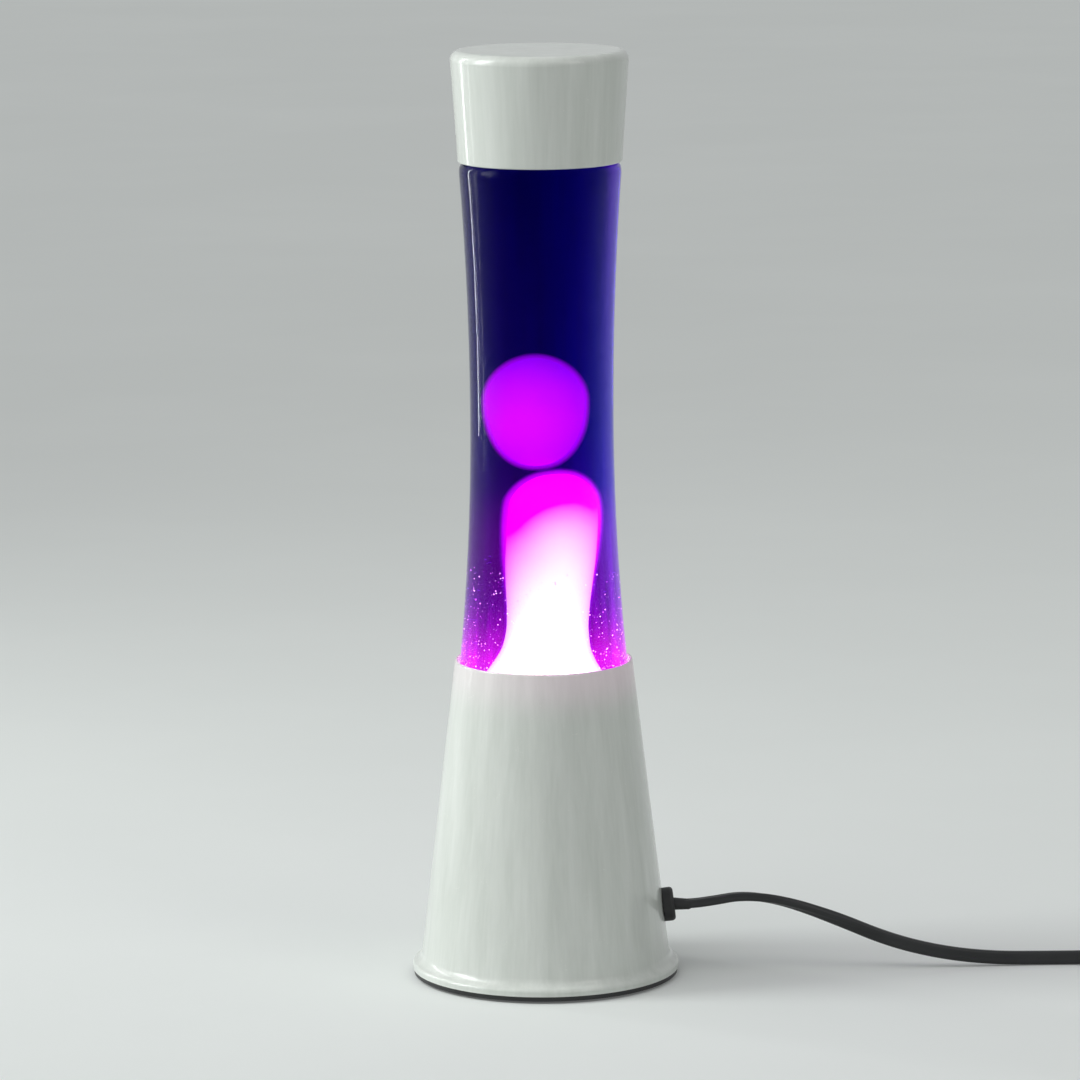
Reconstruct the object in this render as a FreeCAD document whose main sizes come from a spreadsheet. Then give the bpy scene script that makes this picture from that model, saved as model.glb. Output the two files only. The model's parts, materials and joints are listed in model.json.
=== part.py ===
"""Liquid motion lamp: a waisted bottle of tinted liquid and wax standing in a spun metal base.

Millimetres. +Z is up, the origin is on the table under the middle of the base, and the mains cord
leaves the base towards +X. Every size that can be set by itself is a cell of the sheet "sizes".
Formulas below are written with the names of those cells.
"""
import FreeCAD, Part
import math
import os
import re
from FreeCAD import Placement, Rotation, Vector
from Sketcher import Constraint

SIZES = (
    # The base: a spun cone on a flanged foot, closed below by a plastic plate on four pads.
    ("base_height", 136.0, "table to the top of the rim"),
    ("rim_radius", 37.5, "outside of the rim"),
    ("rim_hem", 1.4, "thickness of the folded rim"),
    ("rim_hem_height", 5.0, "how far the fold reaches down inside"),
    ("base_wall", 1.0, "sheet of the base"),
    ("cone_foot_radius", 52.5, "outside of the cone where the foot's sweep starts"),
    ("flange_width", 4.0, "how far the foot flange stands out from there"),
    ("flange_rise", 6.7, "height of the sweep and the bead together"),
    ("sweep_radius", 4.2, "hollow sweep above the bead"),
    ("bead_radius", 1.6, "round outer edge of the flange"),
    ("foot_stand", 1.0, "table to the underside of the plate"),
    ("plate_inset", 0.5, "how far the bottom plate stays inside the flange"),
    ("plate_thickness", 2.0, "bottom plate"),
    ("boss_height", 4.0, "short bosses on the plate"),
    ("boss_radius", 4.5, "every boss on the plate"),
    ("tab_rise", 2.3, "top of the foot's sweep to the underside of the fixing tabs"),
    ("tab_thickness", 1.2, "fixing tabs"),
    ("tab_length", 10.0, "how far a tab reaches in from the wall"),
    ("tab_angle", 16.0, "how wide a tab is, in degrees round the base"),
    ("pad_circle", 44.0, "radius on which the four pads sit"),
    ("pad_radius", 5.0, "rubber pad"),
    ("pad_sink", 0.8, "how deep a pad sits in the plate"),
    ("vent_circle", 34.0, "radius on which the vents lie"),
    ("vent_radius", 2.5, "vent hole"),
    ("screw_shank", 1.5, "radius of the shanks of all screws in the base"),
    ("screw_head", 2.8, "radius of their heads"),
    ("screw_head_height", 1.8, "height of their heads"),
    # The bottle's seat inside the rim.
    ("cradle_wall", 0.8, "sheet of the seat ring"),
    ("ledge_depth", 32.0, "top of the rim to the ledge that carries the bottle"),
    ("ledge_opening", 27.0, "radius of the hole that lets the light up"),
    ("running_gap", 0.3, "clearance between pieces that move apart"),
    # The bottle: two arcs that meet at the waist, a square shoulder and a crown-cork neck.
    ("foot_gap", 0.6, "clearance between the bottle's foot and the folded rim"),
    ("foot_length", 29.2, "bottle's bottom to where it starts to narrow"),
    ("heel_radius", 4.0, "rounding of the bottle's heel"),
    ("waist_radius", 30.1, "outside of the waist"),
    ("waist_height", 135.7, "bottle's bottom to its waist"),
    ("shoulder_radius", 33.9, "outside of the bottle under the cap"),
    ("shoulder_height", 237.7, "bottle's bottom to where its shoulder turns in"),
    ("shoulder_round", 5.0, "rounding of the shoulder"),
    ("dome_rise", 11.5, "from there to the root of the neck"),
    ("dome_radius", 15.5, "radius of the shoulder's dome at the neck's root"),
    ("neck_radius", 12.2, "outside of the neck"),
    ("neck_flare", 3.5, "root of the neck to where it is straight"),
    ("finish_lip", 1.1, "how far the ring that the crown cap grips stands out"),
    ("finish_height", 5.0, "height of that ring"),
    ("neck_length", 19.0, "straight neck with its ring"),
    ("glass_wall", 2.2, "glass"),
    ("glass_floor", 4.0, "glass of the bottle's bottom"),
    ("neck_wall", 3.0, "glass of the neck"),
    ("crown_skirt", 2.7, "how far the crown cap's skirt stands out from that ring"),
    ("crown_height", 6.0, "crown cap"),
    ("crown_sheet", 0.4, "sheet of the crown cap"),
    ("crown_liner_thickness", 0.7, "sealing disc in the crown cap"),
    ("flute_count", 21, "flutes of the crown cap"),
    # What the bottle holds.
    ("liquid_gap", 0.1, "clearance between the liquid and the glass"),
    ("liquid_rise", 7.0, "shoulder to the surface of the liquid"),
    ("pool_depth", 17.7, "bottle's bottom to the top of the wax pool"),
    ("column_lean", 1.9, "lean of the wax column, in degrees towards the cord"),
    ("column_offset", 0.4, "how far its foot stands off the middle"),
    ("column_waist", 12.8, "narrowest radius of the column"),
    ("column_belly", 16.0, "widest radius of the column"),
    ("flare_length", 25.0, "top of the pool to where the column's flare ends"),
    ("column_neck", 6.0, "length of the narrowest stretch"),
    ("column_swell", 42.0, "from there to the widest place"),
    ("column_crown_radius", 11.0, "radius where the belly's shoulder meets the rounded top"),
    ("column_shoulder", 18.8, "widest place to that shoulder"),
    ("column_crown", 3.1, "that shoulder to the top of the column"),
    ("ball_radius", 16.7, "the free wax ball at its widest"),
    ("ball_rise", 20.2, "ball above that place"),
    ("ball_drop", 29.2, "ball below that place"),
    ("ball_offset", -1.8, "ball's axis, measured towards the cord"),
    ("ball_travel", 75.0, "how far the ball can float up"),
    ("ring_radius", 22.0, "middle of the heating ring in the wax pool"),
    ("ring_thickness", 2.5, "half the thickness of that ring"),
    # The cap on top.
    ("cap_stand", 4.5, "where the bottle's shoulder turns in to the cap's lower edge"),
    ("cap_height", 46.5, "cap"),
    ("cap_overhang", 0.45, "how far the cap's lower edge stands out from the bottle"),
    ("cap_flare", 2.8, "how much wider the cap is below its rounded upper edge"),
    ("cap_round", 4.0, "rounding of the cap's upper edge"),
    ("cap_wall", 0.9, "sheet of the cap"),
    ("cap_hem", 1.4, "thickness of the folded lower edge"),
    ("cap_hem_height", 3.0, "height of that fold"),
    ("insert_thickness", 2.0, "disc of the plastic insert"),
    ("insert_sleeve_wall", 1.6, "sleeve of the insert round the crown cap"),
    ("insert_sleeve_gap", 0.6, "clearance between that sleeve and the crown cap"),
    ("insert_sleeve_depth", 20.0, "length of that sleeve"),
    ("insert_flange", 3.3, "how far the disc stands out from that sleeve"),
    # The lampholder and the reflector bulb under the bottle.
    ("bracket_rise", 5.0, "top of the short bosses to the underside of the lampholder"),
    ("holder_height", 34.0, "lampholder"),
    ("holder_wall", 5.3, "porcelain round the bore"),
    ("thread_gap", 0.45, "clearance between the bulb's cap and the threaded shell"),
    ("holder_floor", 6.0, "solid floor of the lampholder"),
    ("shell_thickness", 0.7, "threaded shell in the lampholder"),
    ("bracket_width", 14.0, "bracket under the lampholder"),
    ("bracket_sheet", 1.2, "sheet of that bracket"),
    ("bracket_span", 32.0, "outside of the bracket's legs"),
    ("bracket_foot", 11.0, "length of each foot of the bracket"),
    ("contact_height", 5.0, "lampholder's floor to the bulb's centre contact"),
    ("bulb_length", 66.0, "reflector bulb"),
    ("bulb_radius", 19.5, "widest radius of the bulb"),
    ("bulb_glass", 0.8, "glass of the bulb"),
    ("bulb_cap_radius", 6.9, "threaded cap of the bulb"),
    ("bulb_cap_top", 18.5, "length of the tip, the insulator and the cap together"),
    ("support_radius", 0.3, "wires that carry the filament"),
    ("core_radius", 1.1, "one insulated core of the cord"),
    # The cord's bush in the wall.
    ("gland_height", 28.9, "table to the middle of the bush at the wall"),
    ("gland_flange", 2.2, "how far the bush's flange stands out from its neck"),
    ("gland_thickness", 4.6, "how far the bush stands out"),
    ("gland_round", 1.6, "rounding of its outer edge"),
    ("gland_sleeve", 1.95, "rubber of the bush's neck"),
    ("gland_nut_thickness", 3.0, "nut on the inside"),
    ("gland_nut_stand", 0.75, "gap that the curved wall leaves under the nut"),
    ("gland_tail", 1.0, "how far the bush's neck reaches past the nut"),
    ("cord_width", 5.8, "width of the flat twin cord"),
    ("cord_clearance", 0.15, "clearance round the cord where it passes a hole"),
    ("sheath_end", 14.0, "how far the sheath reaches in from the wall"),
    ("wire_straight", 4.0, "straight stretch of each core past the sheath"),
    ("wire_slack", 14.0, "lampholder to the lowest place of each core"),
    ("wire_droop", 2.5, "how far each core droops there"),
    ("wire_spread", 4.0, "how far each core is from the middle there"),
    ("wire_bend", 8.0, "lampholder, or a terminal of the switch, to where each core turns level"),
    ("wire_level", 3.5, "level stretch of each core at its terminal"),
    ("wire_pass", 7.5, "screw boss of the switch to where the neutral core runs beside the rocker"),
    # The rocker switch in the cord.
    ("switch_x", 307.1, "middle of the switch"),
    ("switch_y", -17.9, "middle of the switch"),
    ("switch_heading", -20.0, "direction of the cord through the switch, in degrees from +X"),
    ("switch_length", 62.0, "switch case"),
    ("switch_width", 27.0, "switch case"),
    ("switch_height", 14.0, "switch case"),
    ("switch_wall", 1.8, "wall of the switch case"),
    ("switch_corner", 9.0, "corners of the case, seen from above"),
    ("switch_edge", 2.0, "rounding of the case's edges"),
    ("rocker_reach", 10.2, "pivot to the end of the rocker"),
    ("rocker_width", 11.5, "rocker"),
    ("pivot_rise", 2.5, "middle of the case to the rocker's pivot"),
    ("rocker_crown", 4.3, "pivot to the middle of the rocker's top"),
    ("rocker_depth", 1.8, "pivot to the underside of the rocker"),
    ("rocker_tilt", 9.0, "tilt of the rocker to each side, in degrees"),
    ("pin_radius", 1.5, "pivot pin of the rocker"),
    ("pin_gap", 0.08, "clearance round that pin"),
    ("cheek_thickness", 2.3, "bearing on each side of the rocker"),
    ("bridge_thickness", 0.5, "contact bridge under the rocker"),
    # The moulded flat plug.
    ("plug_x", 356.0, "where the plug's strain relief starts"),
    ("plug_y", 42.4, "where the plug's strain relief starts"),
    ("plug_heading", 186.0, "direction from the cord to the pins, in degrees from +X"),
    ("plug_height", 13.7, "plug body"),
    ("plug_width", 35.3, "plug body at the pins"),
    ("plug_length", 35.0, "plug body"),
    ("plug_shoulder", 11.0, "width of the plug body where the relief meets it"),
    ("plug_edge", 3.5, "rounding of the plug body"),
    ("relief_length", 22.0, "tapered strain relief"),
    ("relief_wall", 0.8, "strain relief round the cord, where the cord enters"),
    ("relief_taper", 1.3, "how much thicker the relief is at the plug body"),
    ("plug_pin_radius", 2.0, "plug pin"),
    ("plug_pin_length", 19.0, "plug pin"),
    ("plug_pin_spacing", 18.6, "plug pins at the body"),
    ("pin_sleeve", 10.0, "insulated part of each pin"),
    # The put-away coil.
    ("coil_inner", 25.5, "smallest radius of the coil's middle line"),
    ("coil_gap", 0.5, "least clearance between two turns, sideways and up"),
    ("coil_turns", 2.5, "turns in each of the two layers"),
)
NAMES = {name for name, _, _ in SIZES}

doc = FreeCAD.newDocument("liquid_motion_lamp")
sheet = doc.addObject("Spreadsheet::Sheet", "sizes")
for row, (name, value, meaning) in enumerate(SIZES, 1):
    sheet.set(f"A{row}", name)
    sheet.set(f"B{row}", str(value))
    sheet.setAlias(f"B{row}", name)
    sheet.set(f"C{row}", meaning)
doc.recompute()


# Formulas: text with the sheet's names, for binding and for a number.

def formula(text):
    """The text with the sheet's name in front of each of its sizes."""
    def with_sheet(word):
        return f"sizes.{word.group()}" if word.group() in NAMES else word.group()

    return re.sub(r"[A-Za-z_]\w*", with_sheet, str(text))


def number(text):
    """What a formula is worth now."""
    found = sheet.evalExpression(str(text))
    return float(getattr(found, "Value", found))


def bind(piece, bound):
    for prop, text in bound.items():
        piece.setExpression(prop, formula(text))
    return piece


FLANGE_BOTTOM = "(foot_stand + plate_thickness)"
FLANGE_RADIUS = "(cone_foot_radius + flange_width)"
SWEEP_TOP = f"({FLANGE_BOTTOM} + flange_rise)"
RIM_MIDDLE = "(base_height - rim_hem / 2)"
HEM_BOTTOM = "(base_height - rim_hem_height)"
CONE_TILT = f"atan((cone_foot_radius - rim_radius) / ({RIM_MIDDLE} - {SWEEP_TOP}))"
PLATE_RADIUS = f"({FLANGE_RADIUS} - plate_inset)"
TAB_BOTTOM = f"({SWEEP_TOP} + tab_rise)"
LEDGE = "(base_height - ledge_depth)"

BOTTLE_BOTTOM = f"({LEDGE} + running_gap)"
FOOT_RADIUS = "(rim_radius - rim_hem - foot_gap)"
FOOT_TOP = f"({BOTTLE_BOTTOM} + foot_length)"
WAIST = f"({BOTTLE_BOTTOM} + waist_height)"
SHOULDER = f"({BOTTLE_BOTTOM} + shoulder_height)"
DOME_ROOT = f"({SHOULDER} + dome_rise)"
NECK_BASE = f"({DOME_ROOT} + neck_flare)"
NECK_TOP = f"({NECK_BASE} + neck_length)"
MOUTH_RADIUS = "(neck_radius - neck_wall)"
FINISH_RADIUS = "(neck_radius + finish_lip)"
CROWN_RADIUS = f"({FINISH_RADIUS} + crown_skirt)"
CROWN_TOP = f"({NECK_TOP} + crown_liner_thickness + crown_sheet)"

POOL = f"({BOTTLE_BOTTOM} + pool_depth)"
FLARE_TOP = f"({POOL} + flare_length)"
SWELL_START = f"({FLARE_TOP} + column_neck)"
BELLY = f"({SWELL_START} + column_swell)"
COLUMN_SHOULDER = f"({BELLY} + column_shoulder)"
COLUMN_TOP = f"({COLUMN_SHOULDER} + column_crown)"
BALL_MIDDLE = f"({COLUMN_TOP} + running_gap + ball_drop)"
LIQUID_LEVEL = f"({SHOULDER} + liquid_rise)"

CAP_BOTTOM = f"({SHOULDER} + cap_stand)"
CAP_TOP = f"({CAP_BOTTOM} + cap_height)"
CAP_CEILING = f"({CAP_TOP} - cap_wall)"
CAP_MOUTH = "(shoulder_radius + cap_overhang)"
CAP_RADIUS = f"({CAP_MOUTH} + cap_flare)"

BRACKET_FOOT_Z = f"({FLANGE_BOTTOM} + boss_height)"
HOLDER_BASE = f"({BRACKET_FOOT_Z} + bracket_rise)"
HOLDER_BORE = "(bulb_cap_radius + thread_gap + shell_thickness + cord_clearance)"
HOLDER_RADIUS = f"({HOLDER_BORE} + holder_wall)"
TERMINAL_Z = f"({HOLDER_BASE} + holder_floor)"
BULB_TIP = f"({TERMINAL_Z} + contact_height)"
BULB_TOP = f"({BULB_TIP} + bulb_length)"
BULB_SKIRT = f"({BULB_TIP} + bulb_cap_top)"

GLAND_Z = "gland_height"
CORD_RADIUS = "(cord_width / 2)"
CORD_HOLE = "(cord_width / 2 + cord_clearance)"
GLAND_NECK = f"({CORD_HOLE} + gland_sleeve)"
GLAND_RADIUS = f"({GLAND_NECK} + gland_flange)"
HALF = "(switch_height / 2)"
ROCKER_PIVOT = f"({HALF} + pivot_rise)"
RELIEF_TIP = f"({CORD_RADIUS} + relief_wall)"
RELIEF_ROOT = f"({RELIEF_TIP} + relief_taper)"
COIL_PITCH = "(cord_width + coil_gap)"
COIL_OUTER = f"(coil_inner + {COIL_PITCH} * coil_turns)"
# How deep the cord's free stretches start inside the bush and inside the ends of the switch.
LEAD_DEPTH = 1.0
CORD_GRIP = 1.5


def cone_radius(height):
    """Outside radius of the base's cone at a height."""
    slope = f"(rim_radius - cone_foot_radius) / ({RIM_MIDDLE} - {SWEEP_TOP})"
    return f"(cone_foot_radius + {slope} * ({height} - {SWEEP_TOP}))"


def bend(rise, narrowing):
    """Radius of the arc that starts straight along a rise and has turned away by the narrowing at its end."""
    return f"((({rise})^2 + ({narrowing})^2) / (2 * ({narrowing})))"


def inner_cone(height):
    """Inside radius of the base's cone at a height."""
    return f"({cone_radius(height)} - base_wall / cos({CONE_TILT}))"


# Building blocks.

def outline(body, plane, corners, name="outline"):
    """A closed sketch. A corner is (x, y) or (x, y, radius): the radius bends the edge that leaves the
    corner, with its centre on the left of the way round, or on the right if the third entry starts
    with a minus sign. Every coordinate and radius is bound to its formula."""
    sketch = body.newObject("Sketcher::SketchObject", f"{body.Name}_{name}")
    origin_plane = next(f for f in body.Origin.OriginFeatures if f.Role == plane)
    sketch.AttachmentSupport = (origin_plane, [""])
    sketch.MapMode = "FlatFace"
    points = [Vector(number(corner[0]), number(corner[1]), 0) for corner in corners]
    starts = []
    for index, corner in enumerate(corners):
        here, there = points[index], points[(index + 1) % len(points)]
        if len(corner) == 2:
            sketch.addGeometry(Part.LineSegment(here, there), False)
            starts.append((1, 2))
            continue
        inward = not corner[2].startswith("-")
        radius = number(corner[2].lstrip("-"))
        chord = there - here
        rise = math.sqrt(max(radius ** 2 - chord.Length ** 2 / 4, 0))
        side = Vector(-chord.y, chord.x, 0).normalize() * (rise if inward else -rise)
        centre = here + chord / 2 + side
        first, last = (here, there) if inward else (there, here)
        angles = [math.atan2(p.y - centre.y, p.x - centre.x) for p in (first, last)]
        circle = Part.Circle(centre, Vector(0, 0, 1), radius)
        sketch.addGeometry(Part.ArcOfCircle(circle, *angles), False)
        starts.append((1, 2) if inward else (2, 1))
    constrain(sketch, corners, starts)
    return sketch


def constrain(sketch, corners, starts):
    """Joins the edges end to end and binds each corner and each radius. starts gives, for each edge, which
    of its ends the outline enters by and which it leaves by."""
    for index, corner in enumerate(corners):
        begin = starts[index][0]
        before = (index - 1) % len(corners)
        sketch.addConstraint(Constraint("Coincident", before, starts[before][1], index, begin))
        for kind, text, axis in (("DistanceX", corner[0], -2), ("DistanceY", corner[1], -1)):
            if text == "0":
                sketch.addConstraint(Constraint("PointOnObject", index, begin, axis))
                continue
            place = sketch.addConstraint(Constraint(kind, -1, 1, index, begin, number(text)))
            sketch.setExpression(f"Constraints[{place}]", formula(text))
        if len(corner) == 3:
            radius = corner[2].lstrip("-")
            place = sketch.addConstraint(Constraint("Radius", index, number(radius)))
            sketch.setExpression(f"Constraints[{place}]", formula(radius))


def revolved(name, corners, angle=None):
    """A body turned about its own Z axis from an outline in its XZ plane."""
    body = doc.addObject("PartDesign::Body", name)
    sketch = outline(body, "XZ_Plane", corners)
    turn = body.newObject("PartDesign::Revolution", f"{name}_turn")
    turn.Profile = sketch
    turn.ReferenceAxis = (sketch, ["V_Axis"])
    turn.Angle = 360
    if angle:
        turn.Midplane = True
        turn.setExpression("Angle", formula(angle))
    body.Tip = turn
    return body


def extruded(name, plane, corners, length, midplane=False):
    """A body padded from an outline in one of its planes."""
    body = doc.addObject("PartDesign::Body", name)
    sketch = outline(body, plane, corners)
    pad = body.newObject("PartDesign::Pad", f"{name}_pad")
    pad.Profile = sketch
    if midplane:
        pad.SideType = "Symmetric"
    pad.setExpression("Length", formula(length))
    body.Tip = pad
    return body


def round_edges(body, radius, wanted):
    """Rounds the edges of a body's last feature whose middle point passes a test."""
    doc.recompute()
    feature = body.Tip
    edges = [
        f"Edge{index}" for index, edge in enumerate(feature.Shape.Edges, 1)
        if wanted(edge.valueAt((edge.FirstParameter + edge.LastParameter) / 2))
    ]
    rounding = body.newObject("PartDesign::Fillet", f"{body.Name}_rounding")
    rounding.Base = (feature, edges)
    rounding.setExpression("Radius", formula(radius))
    body.Tip = rounding
    return body


def move(piece, x="0", y="0", z="0"):
    bound = {"Placement.Base.x": x, "Placement.Base.y": y, "Placement.Base.z": z}
    return bind(piece, {prop: text for prop, text in bound.items() if text != "0"})


def turned(piece, axis, angle):
    """Sets a piece at an angle about an axis through its own origin; the angle is a formula in degrees.
    It starts from one degree where the angle is none, because a rotation by nothing keeps no axis."""
    piece.Placement = Placement(piece.Placement.Base, Rotation(axis, number(angle) or 1))
    return bind(piece, {"Placement.Rotation.Angle": angle})


def cylinder(name, radius, height, x="0", y="0", z="0"):
    piece = doc.addObject("Part::Cylinder", name)
    return move(bind(piece, {"Radius": radius, "Height": height}), x, y, z)


def cone(name, bottom, top, height, x="0", y="0", z="0"):
    piece = doc.addObject("Part::Cone", name)
    return move(bind(piece, {"Radius1": bottom, "Radius2": top, "Height": height}), x, y, z)


def box(name, length, width, height, x, y, z):
    """A box from its low corner."""
    piece = doc.addObject("Part::Box", name)
    return move(bind(piece, {"Length": length, "Width": width, "Height": height}), x, y, z)


def fused(name, *pieces):
    piece = doc.addObject("Part::MultiFuse", name)
    piece.Shapes = list(pieces)
    return piece


def group(name, *pieces):
    """Separate solids that share one sub-part."""
    piece = doc.addObject("Part::Compound", name)
    piece.Links = list(pieces)
    return piece


def cut(name, base, *tools):
    piece = doc.addObject("Part::Cut", name)
    piece.Base = base
    piece.Tool = tools[0] if len(tools) == 1 else fused(f"{name}_tools", *tools)
    return piece


def around(count, start, make):
    """Makes one piece at each of some equal angles: make gets the place's number and two formulas, the
    cosine and the sine of its angle."""
    pieces = []
    for index in range(count):
        angle = start + 360.0 * index / count
        pieces.append(make(index, f"cos({angle} deg)", f"sin({angle} deg)"))
    return pieces


def screw(name, x, y, z, length, up=True, head="screw_head", shank="screw_shank"):
    """A pan-head screw with a cross in its head. Its head starts at z, and the shank points up or down."""
    height = "screw_head_height"
    low = z if up else f"{z} - {height}"
    knob = cylinder(f"{name}_head", head, height, x, y, low)
    stem_low = f"{z} + {height}" if up else f"{z} - {height} - {length}"
    stem = cylinder(f"{name}_stem", shank, length, x, y, stem_low)
    depth, wide, broad = "screw_head_height / 2", "screw_head * 1.2", "screw_head * 0.25"
    mouth = z if up else f"{z} - {depth}"
    slots = [
        box(f"{name}_slot_{k}", a, b, depth, f"{x} - {a} / 2", f"{y} - {b} / 2", mouth)
        for k, (a, b) in enumerate(((wide, broad), (broad, wide)))
    ]
    return cut(name, fused(f"{name}_blank", knob, stem), *slots)


def route_edges(points):
    """Straight runs joined by tangent arcs. An arc's radius is 0.45 of the shorter run beside it,
    divided by the tangent of half the turn."""
    edges, radii, here = [], [], points[0]
    for before, corner, after in zip(points, points[1:], points[2:]):
        arriving, leaving = (corner - before), (after - corner)
        half = arriving.getAngle(leaving) / 2
        reach = 0.45 * min(arriving.Length, leaving.Length)
        start = corner - arriving.normalize() * reach
        end = corner + leaving.normalize() * reach
        radius = reach / math.tan(half)
        to_middle = (start + end) / 2 - corner
        inset = radius / math.cos(half) - radius
        middle = corner + to_middle.normalize() * inset
        edges.append(Part.LineSegment(here, start).toShape())
        edges.append(Part.Arc(start, middle, end).toShape())
        radii.append(radius)
        here = end
    edges.append(Part.LineSegment(here, points[-1]).toShape())
    return edges, radii


def swept(name, edges, radius):
    """One solid round tube along joined edges."""
    path = Part.Wire(edges)
    start = edges[0].valueAt(edges[0].FirstParameter)
    heading = edges[0].tangentAt(edges[0].FirstParameter)
    ring = Part.Wire([Part.Circle(start, heading, radius).toShape()])
    solid = path.makePipeShell([ring], True, False)
    share = solid.Volume / (math.pi * radius ** 2 * path.Length)
    print(f"{name}: {path.Length:.1f} mm long, volume {share:.4f} of section times length")
    piece = doc.addObject("Part::Feature", name)
    piece.Shape = solid
    return piece


def tube(name, points, radius):
    edges, radii = route_edges([Vector(*point) for point in points])
    print(f"{name}: arc radii {', '.join(f'{r:.0f}' for r in radii)} mm")
    return swept(name, edges, radius)


# The base.

def make_base_shell():
    sweep_x = f"(cone_foot_radius + sweep_radius * cos({CONE_TILT}))"
    sweep_z = f"({SWEEP_TOP} + sweep_radius * sin({CONE_TILT}))"
    bead_x = f"({FLANGE_RADIUS} - bead_radius)"
    bead_z = f"({sweep_z} - sqrt((sweep_radius + bead_radius)^2 - ({sweep_x} - {bead_x})^2))"

    def meeting(share):
        """Where the hollow sweep runs into the bead, as a share of the way between their centres."""
        across = f"{sweep_x} + ({bead_x} - {sweep_x}) * {share}"
        return across, f"{sweep_z} + ({bead_z} - {sweep_z}) * {share}"

    outer = meeting("sweep_radius / (sweep_radius + bead_radius)")
    inner = meeting("(sweep_radius + base_wall) / (sweep_radius + bead_radius)")
    lip = "rim_hem / 2"
    hem = "(rim_radius - rim_hem)"
    skin = revolved("base_skin", [
        (FLANGE_RADIUS, FLANGE_BOTTOM),
        (FLANGE_RADIUS, bead_z, "bead_radius"),
        (*outer, "-sweep_radius"),
        ("cone_foot_radius", SWEEP_TOP),
        ("rim_radius", RIM_MIDDLE, lip),
        (f"rim_radius - {lip}", "base_height", lip),
        (hem, RIM_MIDDLE),
        (hem, HEM_BOTTOM),
        (inner_cone(HEM_BOTTOM), HEM_BOTTOM),
        (f"cone_foot_radius - base_wall * cos({CONE_TILT})", f"{SWEEP_TOP} - base_wall * sin({CONE_TILT})",
         "(sweep_radius + base_wall)"),
        (*inner, "-(bead_radius - base_wall)"),
        (f"{FLANGE_RADIUS} - base_wall", bead_z),
        (f"{FLANGE_RADIUS} - base_wall", FLANGE_BOTTOM),
    ])
    hole = cylinder("gland_hole", f"{GLAND_NECK} + cord_clearance", "4 * base_wall")
    return cut("base_shell", skin, at_the_wall(hole, "-2 * base_wall"))


def at_the_wall(piece, out="0"):
    """Sets a piece with its Z axis square to the wall, where the cord goes through it."""
    turned(piece, Vector(0, 1, 0), f"90 deg - {CONE_TILT}")
    x = f"{cone_radius(GLAND_Z)} + ({out}) * cos({CONE_TILT})"
    return move(piece, x, "0", f"gland_height + ({out}) * sin({CONE_TILT})")


def make_bottle_cradle():
    outside = f"({inner_cone(HEM_BOTTOM)} - cord_clearance)"
    return revolved("bottle_cradle", [
        ("ledge_opening", f"{LEDGE} - cradle_wall"),
        (outside, f"{LEDGE} - cradle_wall"),
        (outside, HEM_BOTTOM),
        (f"{outside} - cradle_wall", HEM_BOTTOM),
        (f"{outside} - cradle_wall", LEDGE),
        ("ledge_opening", LEDGE),
    ])


TAB_REACH = "(cone_foot_radius - base_wall - tab_length / 2)"
# The first place of each ring of like pieces, in degrees from the cord.
TAB_STARTS = 60.0
PAD_STARTS = 45.0
VENT_STARTS = 15.0
BRACKET_SCREW = "(bracket_span / 2 + bracket_foot / 2)"


def make_bottom_plate():
    spigot = f"({inner_cone(SWEEP_TOP)} - cord_clearance)"
    disc = revolved("plate_disc", [
        ("0", "foot_stand"),
        (PLATE_RADIUS, "foot_stand"),
        (PLATE_RADIUS, FLANGE_BOTTOM),
        (spigot, FLANGE_BOTTOM),
        (spigot, f"{FLANGE_BOTTOM} + boss_height"),
        (f"{spigot} - plate_thickness", f"{FLANGE_BOTTOM} + boss_height"),
        (f"{spigot} - plate_thickness", FLANGE_BOTTOM),
        ("0", FLANGE_BOTTOM),
    ])
    solids, holes = [disc], []
    tall = f"{TAB_BOTTOM} - {FLANGE_BOTTOM}"
    head_room = "screw_head + 2 * cord_clearance"
    pocket = "screw_head_height + pad_sink / 2"

    def tab_boss(index, c, s):
        x, y = f"{TAB_REACH} * {c}", f"{TAB_REACH} * {s}"
        holes.append(cylinder(f"plate_screw_pocket_{index}", head_room, pocket, x, y, "foot_stand"))
        holes.append(cylinder(f"plate_screw_hole_{index}", "screw_shank", TAB_BOTTOM, x, y, "foot_stand"))
        return cylinder(f"plate_tall_boss_{index}", "boss_radius", tall, x, y, FLANGE_BOTTOM)

    solids += around(3, TAB_STARTS, tab_boss)
    for index, side in enumerate(("", "-")):
        y = f"{side}{BRACKET_SCREW}"
        solids.append(cylinder(
            f"plate_short_boss_{index}", "boss_radius", "boss_height", "0", y, FLANGE_BOTTOM))
        deep = f"{BRACKET_FOOT_Z} - foot_stand - plate_thickness / 2"
        z = "foot_stand + plate_thickness / 2"
        holes.append(cylinder(f"plate_bracket_hole_{index}", "screw_shank", deep, "0", y, z))
    holes += around(4, PAD_STARTS, lambda index, c, s: cylinder(
        f"pad_recess_{index}", "pad_radius + cord_clearance", "pad_sink",
        f"pad_circle * {c}", f"pad_circle * {s}", "foot_stand"))
    holes += around(12, VENT_STARTS, lambda index, c, s: cylinder(
        f"vent_{index}", "vent_radius", "2 * plate_thickness",
        f"vent_circle * {c}", f"vent_circle * {s}", "foot_stand - plate_thickness / 2"))
    return cut("bottom_plate", fused("plate_blank", *solids), *holes)


def make_rubber_feet():
    return group("rubber_feet", *around(4, PAD_STARTS, lambda index, c, s: cylinder(
        f"foot_{index}", "pad_radius", "foot_stand + pad_sink", f"pad_circle * {c}", f"pad_circle * {s}")))


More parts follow.
